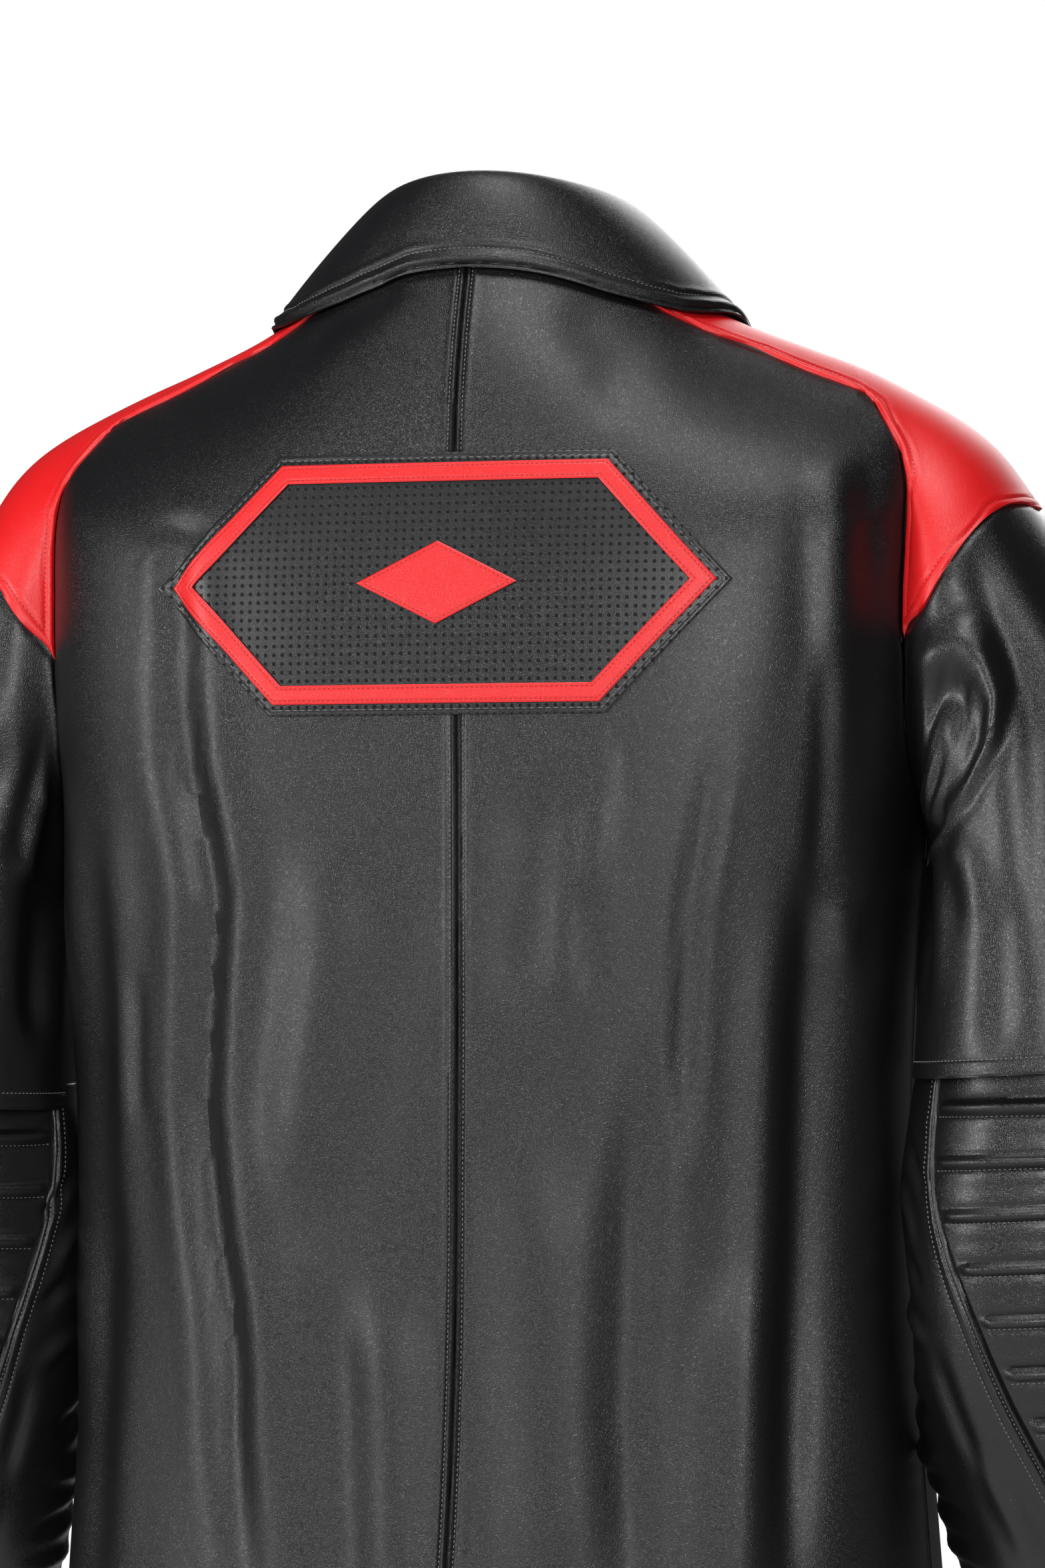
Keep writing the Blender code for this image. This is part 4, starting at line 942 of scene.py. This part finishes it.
def lower_sleeve(name, side, material, lines):
    """The lower sleeve, wrapped from one side of the elbow panel round to the other."""
    share = shares(*LOWER_AROUND)[:, None]
    reach = (shares(*LOWER_ALONG) * CUFF_REACH)[None]
    inner, outer = panel_edges(side, reach)
    arm = inner + (outer + 360.0 - inner) * share
    points, out = surface(lower, side, arm, np.broadcast_to(reach, arm.shape))
    first = distance_to(points, path_along(points[0]))
    last = distance_to(points, path_along(points[-1]))
    hem = distance_to(points, path_along(points[:, -1]))
    edge = np.minimum(first, last)
    height = stitched_seam(edge, SLEEVE_STITCH) + bumps(edge, (-0.5, STRIP_STITCH, 0.8))
    height += rolled_edge(hem) + bumps(hem, (-0.4, HEM_STITCH, 0.8))
    shown = points + out * height[..., None]
    half = len(share) // 2
    for target in (SLEEVE_STITCH, STRIP_STITCH):
        lines.append(line_at(shown[:half], out[:half], first[:half], target))
        lines.append(line_at(shown[:half:-1], out[:half:-1], last[:half:-1], target))
    return dress(name, shown, points, out, material)


def elbow_panel(name, side, material, lines):
    """The elbow panel with raised cords: a dip along both sides of each, stitches along the lower."""
    share = shares(*ELBOW_ACROSS)[:, None]
    reach = np.linspace(0.0, ELBOW_LENGTH, ELBOW_ROWS)[None]
    inner, outer = panel_edges(side, reach)
    arm = outer + (inner - outer) * share
    points, out = surface(lower, side, arm, np.broadcast_to(reach, arm.shape))
    cords = CORD_FIRST + CORD_PITCH * np.arange(CORD_COUNT)
    first = distance_to(points, path_along(points[0]))
    last = distance_to(points, path_along(points[-1]))
    edge = np.minimum(first, last)
    inwards = ease(*CORD_ENDS, edge)
    gap = np.abs(reach - cords[np.argmin(np.abs(reach[0][:, None] - cords), axis=1)][None])
    between = 0.5 * CORD_PITCH - gap
    height = CORD_RISE * np.exp(-(gap / CORD_WIDTH) ** 3) + bumps(gap, (-0.8, CORD_STITCH, 0.8))
    near_cord, near_middle = PAD_SLOPES
    pad = ease(0.0, near_middle, between) * ease(CORD_STITCH, CORD_STITCH + near_cord, gap)
    height = height + PAD_RISE * pad
    height = height * inwards - PANEL_SEAM_DEPTH * bump(edge, 0.0, 1.0)
    shown = points + out * height[..., None]
    for cord in cords:
        row = np.argmin(np.abs(reach[0] - cord - CORD_STITCH))
        keep = edge[:, row] > STITCHES_CLEAR
        lines.append((shown[keep, row], out[keep, row]))
    return dress(name, shown, points, out, material)


# ---------------------------------------------------------------- collar
def fold_line(angle):
    """The line where the stand turns over into the fall."""
    c, s = superellipse(angle, 2.0)
    behind = s >= 0
    depth = np.where(behind, FOLD_BACK_Y, FOLD_FRONT_Y)
    middle = np.where(behind, FOLD_BACK_Z, FOLD_FRONT_Z)
    z = FOLD_SIDE_Z * c * c + middle * s * s
    return np.stack((FOLD_HALF_WIDTH * c, depth * s, z), axis=-1)


def collar_angles():
    """Angles round the neck, from the left front behind the neck to the right front."""
    return COLLAR_END_ANGLE + (180.0 - 2 * COLLAR_END_ANGLE) * shares(*COLLAR_AROUND)


def collar_stand(material):
    """The stand, from the neck seam up to the fold."""
    angle = collar_angles()
    foot = body(LEFT, angle, np.zeros(len(angle)))
    top = fold_line(angle)
    share = np.linspace(0.0, 1.0, STAND_ROWS)[None, :, None]
    grid = foot[:, None] + (top - foot)[:, None] * share
    along = np.gradient(grid, axis=0)
    up = (top - foot)[:, None] + 0.0 * grid
    out = unit(np.cross(up, along))
    out = out * np.sign(np.sum(out[..., :2] * grid[..., :2], axis=-1))[..., None]
    return dress("collar_stand", grid, grid, out, material)


def collar_fall(material, lines):
    """The fall: it covers the stand's top edge and comes down over the shoulders."""
    angle = collar_angles()
    fold = fold_line(angle)
    folded = np.where(angle > 90.0, 180.0 - angle, angle)
    low = 90.0 - (90.0 - folded) * (90.0 - FALL_EDGE[0, 0]) / (90.0 - COLLAR_END_ANGLE)
    drop = smooth(FALL_EDGE, FALL_COLUMNS, "drop", low)
    low = np.where(angle > 90.0, 180.0 - low, low)
    edge, edge_out = surface(body, LEFT, low, drop)
    edge = edge + edge_out * (FALL_CLEAR + LEATHER)
    away = unit(fold * np.array((1.0, 1.0, 0.0)))
    run = unit(np.gradient(fold, axis=0))
    up = unit(np.array((0.0, 0.0, 1.0)) - run * run[:, 2:])
    start = fold - away * LEATHER + up * LEATHER
    roll = fold + away * FALL_ROLL_OUT + up * FALL_ROLL_UP
    belly = fold + (edge - fold) * FALL_BULGE_AT + unit(away + up) * FALL_BULGE
    t = shares(*FALL_ALONG)[None, :, None]
    grid = (start[:, None] * (1 - t) ** 3 + 3 * roll[:, None] * t * (1 - t) ** 2
            + 3 * belly[:, None] * t * t * (1 - t) + edge[:, None] * t ** 3)
    along = np.gradient(grid, axis=0)
    down = np.gradient(grid, axis=1)
    out = unit(np.cross(along, down))
    out = out * np.sign(np.sum(out * unit(away + up)[:, None], axis=-1))[..., None]
    d = distance_to(grid, path_along(grid[:, -1]))
    height = bumps(d, (-1.6, COLLAR_LIP, 0.7), (-0.6, 0.0, 0.8), (1.5, 5.6, 2.2), (-0.9, COLLAR_STITCH, 0.8),
                   (0.5, COLLAR_STITCH + 3.0, 2.0))
    shown = grid + out * height[..., None]
    lines.append(line_by_end(shown, out, d, COLLAR_STITCH))
    return dress("collar_fall", shown, grid, out, material)


# ---------------------------------------------------------------- the patch on the back
def back_at(x, z):
    """Points of the back and their normals at given x and z, found in a few small steps."""
    angle = 90.0 - np.degrees(np.arcsin(x / BACK_RADIUS))
    drop = -z + 0.0 * x
    for _ in range(BACK_STEPS):
        place = smooth_body(LEFT, angle, drop)
        drop = drop + (place[..., 2] - z)
        angle = angle + np.degrees((place[..., 0] - x) / BACK_RADIUS)
    return surface(body, LEFT, angle, drop)


def hexagon(half_length, half_flat, half_height, long_segments, slant_segments):
    """Closed outline of a hexagon with pointed ends, clockwise from its right point."""
    corners = np.array(((half_length, 0), (half_flat, -half_height), (-half_flat, -half_height),
                        (-half_length, 0), (-half_flat, half_height), (half_flat, half_height)), float)
    runs = (slant_segments, long_segments, slant_segments) * 2
    points = []
    for k, segments in enumerate(runs):
        share = np.arange(segments)[:, None] / segments if segments else np.zeros((0, 1))
        points.append(corners[k] + (corners[(k + 1) % 6] - corners[k]) * share)
    return np.concatenate(points)


def drawn_in(half_length, half_flat, half_height, distance):
    """The hexagon's three sizes with each side moved in by a distance."""
    run, rise = half_length - half_flat, half_height
    slant = math.hypot(run, rise)
    length = half_length - distance * slant / rise
    height = half_height - distance * (slant / run if half_flat == 0.0 else 1.0)
    flat = max(0.0, length - run * height / rise)
    return length, flat, height


def applied(name, sizes, distances, segments, offset, relief, material, lines, stitch_at):
    """A ring of leather on the back between two distances from a hexagon's sides."""
    rings = np.stack([hexagon(*drawn_in(*sizes, d), *segments) for d in distances], axis=1)
    points, out = back_at(rings[..., 0], PATCH_MIDDLE_Z + rings[..., 1])
    points = points + out * (offset + PATCH)
    shown = points + out * relief(distances)[None, :, None]
    for at in stitch_at:
        row = np.argmin(np.abs(distances - at))
        closed = np.concatenate((shown[:, row], shown[:1, row]))
        lines.append((closed, np.concatenate((out[:, row], out[:1, row]))))
    return dress(name, shown, points, out, material, PATCH, closed=True)


# ---------------------------------------------------------------- materials
COAT_ROUGHNESS = 0.32
REFRACTION = 1.5
ROUGH_SPREAD = 0.06     # how far the roughness wanders either way
WEAR_SCALE = 14.0       # waves of wear to a metre
BEND_SCALE = 0.6        # scale of the noise that bends the grain, in cells
GRAIN_BEND = 0.5        # how far it bends it, in cells
PEBBLE_EDGE = 0.28      # width of the dips between the pebbles
PORE_SCALE = 2.4        # scale of the fine pores, in cells
PORE_SHARE = 0.7        # and their depth against the pebbles
SOFT = (("interpolation_type", "SMOOTHSTEP"),)
COLOURS = (("data_type", "RGBA"),)


def link(tree, node, output, other, socket):
    """Joins a node's output to another's input."""
    tree.links.new(node.outputs[output], other.inputs[socket])


def node_of(tree, kind, settings=(), **values):
    """A node with its properties and its input values."""
    node = tree.nodes.new(kind)
    for key, value in settings:
        setattr(node, key, value)
    for key, value in values.items():
        node.inputs[key.replace("_", " ")].default_value = value
    return node


def maths(tree, operation, *operands):
    """A Math node; each operand is a number or a (node, output) pair."""
    node = node_of(tree, "ShaderNodeMath", (("operation", operation),))
    for place, operand in enumerate(operands):
        if isinstance(operand, tuple):
            link(tree, *operand, node, place)
        else:
            node.inputs[place].default_value = operand
    return node


def noise(tree, where, scale, detail, roughness=0.5):
    """Noise on the Object coordinates."""
    node = node_of(tree, "ShaderNodeTexNoise", Scale=scale, Detail=detail, Roughness=roughness)
    link(tree, where, "Object", node, "Vector")
    return node


def leather(name, colour, deep, roughness, coat, grain_size, grain_depth):
    """Grained leather: pebbles from cell edges, fine pores, soft wear in the roughness.

    relief = smoothstep(distance to the cell's edge / PEBBLE_EDGE) + PORE_SHARE * noise, on Object
    coordinates bent by a broader noise. The colour goes with it: deep down in the grain, colour on top.
    """
    material = bpy.data.materials.new(name)
    material.use_nodes = True
    tree = material.node_tree
    shader = tree.nodes["Principled BSDF"]
    shader.inputs["Coat Weight"].default_value = coat
    shader.inputs["Coat Roughness"].default_value = COAT_ROUGHNESS
    shader.inputs["IOR"].default_value = REFRACTION
    where = node_of(tree, "ShaderNodeTexCoord")
    bend = noise(tree, where, BEND_SCALE / grain_size, 2.0)
    shift = node_of(tree, "ShaderNodeVectorMath", (("operation", "MULTIPLY_ADD"),))
    shift.inputs[1].default_value = (grain_size * GRAIN_BEND,) * 3
    link(tree, bend, "Color", shift, 0)
    link(tree, where, "Object", shift, 2)
    cells = node_of(tree, "ShaderNodeTexVoronoi", (("feature", "DISTANCE_TO_EDGE"),), Scale=1.0 / grain_size)
    link(tree, shift, "Vector", cells, "Vector")
    pebble = node_of(tree, "ShaderNodeMapRange", SOFT, From_Min=0.0, From_Max=PEBBLE_EDGE)
    link(tree, cells, "Distance", pebble, "Value")
    pores = noise(tree, where, PORE_SCALE / grain_size, 3.0, 0.6)
    mixed = maths(tree, "MULTIPLY_ADD", (pores, "Fac"), PORE_SHARE, (pebble, "Result"))
    relief = node_of(tree, "ShaderNodeBump", Strength=1.0, Distance=grain_depth)
    link(tree, mixed, "Value", relief, "Height")
    link(tree, relief, "Normal", shader, "Normal")
    wear = noise(tree, where, WEAR_SCALE, 3.0, 0.55)
    rough = node_of(tree, "ShaderNodeMapRange", To_Min=roughness - ROUGH_SPREAD,
                    To_Max=roughness + ROUGH_SPREAD)
    link(tree, wear, "Fac", rough, "Value")
    link(tree, rough, "Result", shader, "Roughness")
    tone = node_of(tree, "ShaderNodeMix", COLOURS)
    tone.inputs[6].default_value = (*deep, 1.0)
    tone.inputs[7].default_value = (*colour, 1.0)
    link(tree, mixed, "Value", tone, 0)
    link(tree, tone, 2, shader, "Base Color")
    return material


def plain(name, colour, roughness, metallic=0.0):
    """A Principled material without a pattern."""
    material = bpy.data.materials.new(name)
    material.use_nodes = True
    shader = material.node_tree.nodes["Principled BSDF"]
    shader.inputs["Base Color"].default_value = (*colour, 1.0)
    shader.inputs["Roughness"].default_value = roughness
    shader.inputs["Metallic"].default_value = metallic
    return material


# Leathers: colour on top and deep in the grain, roughness, coat, the grain's size and depth in metres.
BLACK = leather("black_leather_skin", (0.0060, 0.0060, 0.0070), (0.0025, 0.0025, 0.003),
                0.32, 0.08, 0.0009, 0.00008)
SLEEVE = leather("sleeve_leather_skin", (0.0055, 0.0055, 0.0063), (0.0025, 0.0025, 0.003),
                 0.28, 0.12, 0.0009, 0.00006)
RED = leather("red_leather_skin", (0.66, 0.008, 0.010), (0.70, 0.005, 0.006),
              0.40, 0.06, 0.0009, 0.00005)
PERFORATED = leather("perforated_leather_skin", (0.010, 0.010, 0.0115), (0.005, 0.005, 0.006),
                     0.33, 0.1, 0.0009, 0.00004)
METAL = plain("stud_metal_skin", (0.05, 0.05, 0.055), 0.3, 1.0)
# Black thread, coloured a light grey that paints in the glints on the stitches.
THREAD_BLACK_WITH_PAINTED_GLINT = plain("thread_black_with_painted_glint", (0.130, 0.130, 0.135), 0.5)
# Red thread, darker than the red leather: its own red with the shade of the stitch holes painted in.
THREAD_RED_WITH_PAINTED_SHADE = plain("thread_red_with_painted_shade", (0.30, 0.004, 0.006), 0.45)

# Perforations, in metres.
HOLE_PITCH = 0.0047
HOLE_RADIUS = 0.00105
HOLE_RIM = (0.75, 1.2)  # where a hole's rim begins and ends, in radii
# Colour in the holes: painted shade, much darker than the leather itself.
HOLE_PAINTED_SHADE = (0.0006, 0.0006, 0.0006, 1.0)
HOLE_DEPTH = 0.00025


def perforate(material):
    """Round holes on a square grid over the patch: painted nearly black for the shade down each hole, dull,
    and pressed in at the rim.

    With x and z in pitches, the distance is sqrt((x - round x)^2 + (z - round z)^2).
    """
    tree = material.node_tree
    shader = tree.nodes["Principled BSDF"]
    where = node_of(tree, "ShaderNodeTexCoord")
    parts = node_of(tree, "ShaderNodeSeparateXYZ")
    link(tree, where, "Object", parts, "Vector")
    squares = []
    for axis in ("X", "Z"):
        scaled = maths(tree, "DIVIDE", (parts, axis), HOLE_PITCH)
        nearest = maths(tree, "ROUND", (scaled, "Value"))
        away = maths(tree, "SUBTRACT", (scaled, "Value"), (nearest, "Value"))
        squares.append((maths(tree, "MULTIPLY", (away, "Value"), (away, "Value")), "Value"))
    distance = maths(tree, "SQRT", (maths(tree, "ADD", *squares), "Value"))
    start, end = (HOLE_RADIUS / HOLE_PITCH * share for share in HOLE_RIM)
    hole = node_of(tree, "ShaderNodeMapRange", SOFT, From_Min=start, From_Max=end)
    link(tree, distance, "Value", hole, "Value")
    colour, rough, normal = (shader.inputs[name].links[0].from_socket
                             for name in ("Base Color", "Roughness", "Normal"))
    # Painted shade: the holes take the nearly black colour here.
    tone = node_of(tree, "ShaderNodeMix", COLOURS)
    tone.inputs[6].default_value = HOLE_PAINTED_SHADE
    link(tree, hole, "Result", tone, 0)
    tree.links.new(colour, tone.inputs[7])
    link(tree, tone, 2, shader, "Base Color")
    dull = node_of(tree, "ShaderNodeMapRange", To_Min=1.0)
    link(tree, hole, "Result", dull, "Value")
    tree.links.new(rough, dull.inputs["To Max"])
    link(tree, dull, "Result", shader, "Roughness")
    relief = node_of(tree, "ShaderNodeBump", Strength=1.0, Distance=HOLE_DEPTH)
    link(tree, hole, "Result", relief, "Height")
    tree.links.new(normal, relief.inputs["Normal"])
    link(tree, relief, "Normal", shader, "Normal")


perforate(PERFORATED)

# ---------------------------------------------------------------- the jacket
black_lines, red_lines, badge_lines = [], [], []
for side, word in ((LEFT, "left"), (RIGHT, "right")):
    body_panel("back_" + word, side, BEHIND, BLACK, black_lines)
    body_panel("front_" + word, side, AHEAD, BLACK, black_lines)
    shoulder("shoulder_" + word, side, RED, red_lines)
    upper_sleeve("oversleeve_" + word, side, SLEEVE, black_lines)
    lower_sleeve("sleeve_" + word, side, SLEEVE, black_lines)
    elbow_panel("elbow_" + word, side, SLEEVE, black_lines)
collar_stand(BLACK)
collar_fall(BLACK, black_lines)

PATCH_SIZES = (PATCH_HALF_LENGTH, PATCH_HALF_FLAT, PATCH_HALF_HEIGHT)
DIAMOND_SIZES = (DIAMOND_HALF_LENGTH, 0.0, DIAMOND_HALF_HEIGHT)
ON_PATCH = 2 * PATCH_OFFSET + PATCH
BAND_END = PATCH_EDGE + BAND_WIDTH
RIM_WIDTH = 7.0         # rows lie closer together in the patch's rim
RIM_STEP = 0.6
base_rows = np.concatenate((np.arange(0.0, RIM_WIDTH, RIM_STEP),
                            np.linspace(RIM_WIDTH, PATCH_HALF_HEIGHT - 0.05, 34)))
band_rows = np.linspace(PATCH_EDGE, BAND_END, 23)
DIAMOND_DEPTH = 19.6    # its rows end just short of its middle
diamond_rows = np.linspace(0.0, DIAMOND_DEPTH, 34)
applied(
    "badge_base", PATCH_SIZES, base_rows, PATCH_SEGMENTS, PATCH_OFFSET,
    lambda d: bumps(d, (-0.5, 0.0, 0.5), (-0.35, PATCH_STITCH, 0.6)),
    PERFORATED, badge_lines, (PATCH_STITCH,))
applied(
    "badge_band", PATCH_SIZES, band_rows, PATCH_SEGMENTS, ON_PATCH,
    lambda d: applied_edge(np.minimum(d - PATCH_EDGE, BAND_END - d), APPLIED_STITCH),
    RED, red_lines, (PATCH_EDGE + APPLIED_STITCH, BAND_END - APPLIED_STITCH))
applied(
    "badge_diamond", DIAMOND_SIZES, diamond_rows, DIAMOND_SEGMENTS, ON_PATCH,
    lambda d: applied_edge(d, APPLIED_STITCH), RED, red_lines, (APPLIED_STITCH,))

STITCH_PITCH = 2.7
PATCH_STITCH_PITCH = 4.2
stitches("black_stitches", black_lines, STITCH_PITCH, 0.55, THREAD_BLACK_WITH_PAINTED_GLINT)
stitches("red_stitches", red_lines, STITCH_PITCH, 0.5, THREAD_RED_WITH_PAINTED_SHADE)
stitches("badge_stitches", badge_lines, PATCH_STITCH_PITCH, 0.6, THREAD_BLACK_WITH_PAINTED_GLINT, fill=0.75)

STUD_COUNT = 6
for number in range(1, STUD_COUNT + 1):
    stud = bpy.data.objects["stud_%d" % number].data
    stud.materials.clear()
    stud.materials.append(METAL)

# ---------------------------------------------------------------- light, floor and camera
scene = bpy.context.scene
scene.view_settings.view_transform = "Standard"
world = bpy.data.worlds.new("studio")
scene.world = world
world.use_nodes = True
tree = world.node_tree
tree.nodes.clear()
# The camera sees plain white behind the jacket; the leather is lit by a dim sky and the lamps.
seen = node_of(tree, "ShaderNodeBackground", Color=(1.0, 1.0, 1.0, 1.0), Strength=1.0)
lighting = node_of(tree, "ShaderNodeBackground", Color=(0.95, 0.97, 1.0, 1.0), Strength=0.05)
which = node_of(tree, "ShaderNodeLightPath")
either = node_of(tree, "ShaderNodeMixShader")
output = node_of(tree, "ShaderNodeOutputWorld")
link(tree, which, "Is Camera Ray", either, 0)
link(tree, lighting, "Background", either, 1)
link(tree, seen, "Background", either, 2)
link(tree, either, "Shader", output, 0)

# Places and sizes are metres from here on.
FLOOR_Z = -1.45
FLOOR_HALF = 4
corners = [(x * FLOOR_HALF, y * FLOOR_HALF, FLOOR_Z) for x, y in ((-1, -1), (1, -1), (1, 1), (-1, 1))]
floor_mesh = bpy.data.meshes.new("floor")
floor_mesh.from_pydata(corners, [], [(0, 1, 2, 3)])
floor_mesh.materials.append(plain("floor", (0.8, 0.8, 0.8), 0.7))
floor = bpy.data.objects.new("floor", floor_mesh)
scene.collection.objects.link(floor)


def lamp(name, place, aim, width, height, power):
    """A soft light at a place, turned to a point."""
    data = bpy.data.lights.new(name, "AREA")
    data.shape = "RECTANGLE"
    data.size, data.size_y = width, height
    data.energy = power
    light = bpy.data.objects.new(name, data)
    light.location = place
    light.rotation_euler = (Vector(aim) - Vector(place)).to_track_quat("-Z", "Y").to_euler()
    scene.collection.objects.link(light)


lamp("left", (2.2, 2.3, 0.1), (0.1, 0.1, -0.45), 0.8, 1.6, 62.0)
lamp("right", (-0.95, 3.4, 0.35), (0.0, 0.1, -0.45), 0.8, 1.5, 68.0)
lamp("top", (-0.2, 0.9, 2.2), (0.0, 0.0, -0.2), 1.2, 1.2, 40.0)
lamp("front", (0.0, -3.0, 1.2), (0.0, 0.0, -0.4), 2.0, 2.0, 40.0)

# The camera stands behind the jacket, a little to its right, level with its middle.
IMAGE_WIDTH = 1568
CAMERA_PLACE = (-0.7511, 2.9044, -0.4)
CAMERA_TURN = 14.5
LENS = 186.15
SHIFT_RIGHT, SHIFT_UP = 27, 245     # pixels that the picture's middle lies off the lens's axis
camera_data = bpy.data.cameras.new("camera")
camera_data.sensor_fit = "HORIZONTAL"
camera_data.sensor_width = 36.0
camera_data.lens = LENS
camera_data.shift_x = SHIFT_RIGHT / IMAGE_WIDTH
camera_data.shift_y = SHIFT_UP / IMAGE_WIDTH
camera = bpy.data.objects.new("camera", camera_data)
camera.location = CAMERA_PLACE
camera.rotation_euler = (math.radians(90.0), 0.0, math.radians(180.0 + CAMERA_TURN))
scene.collection.objects.link(camera)
scene.camera = camera
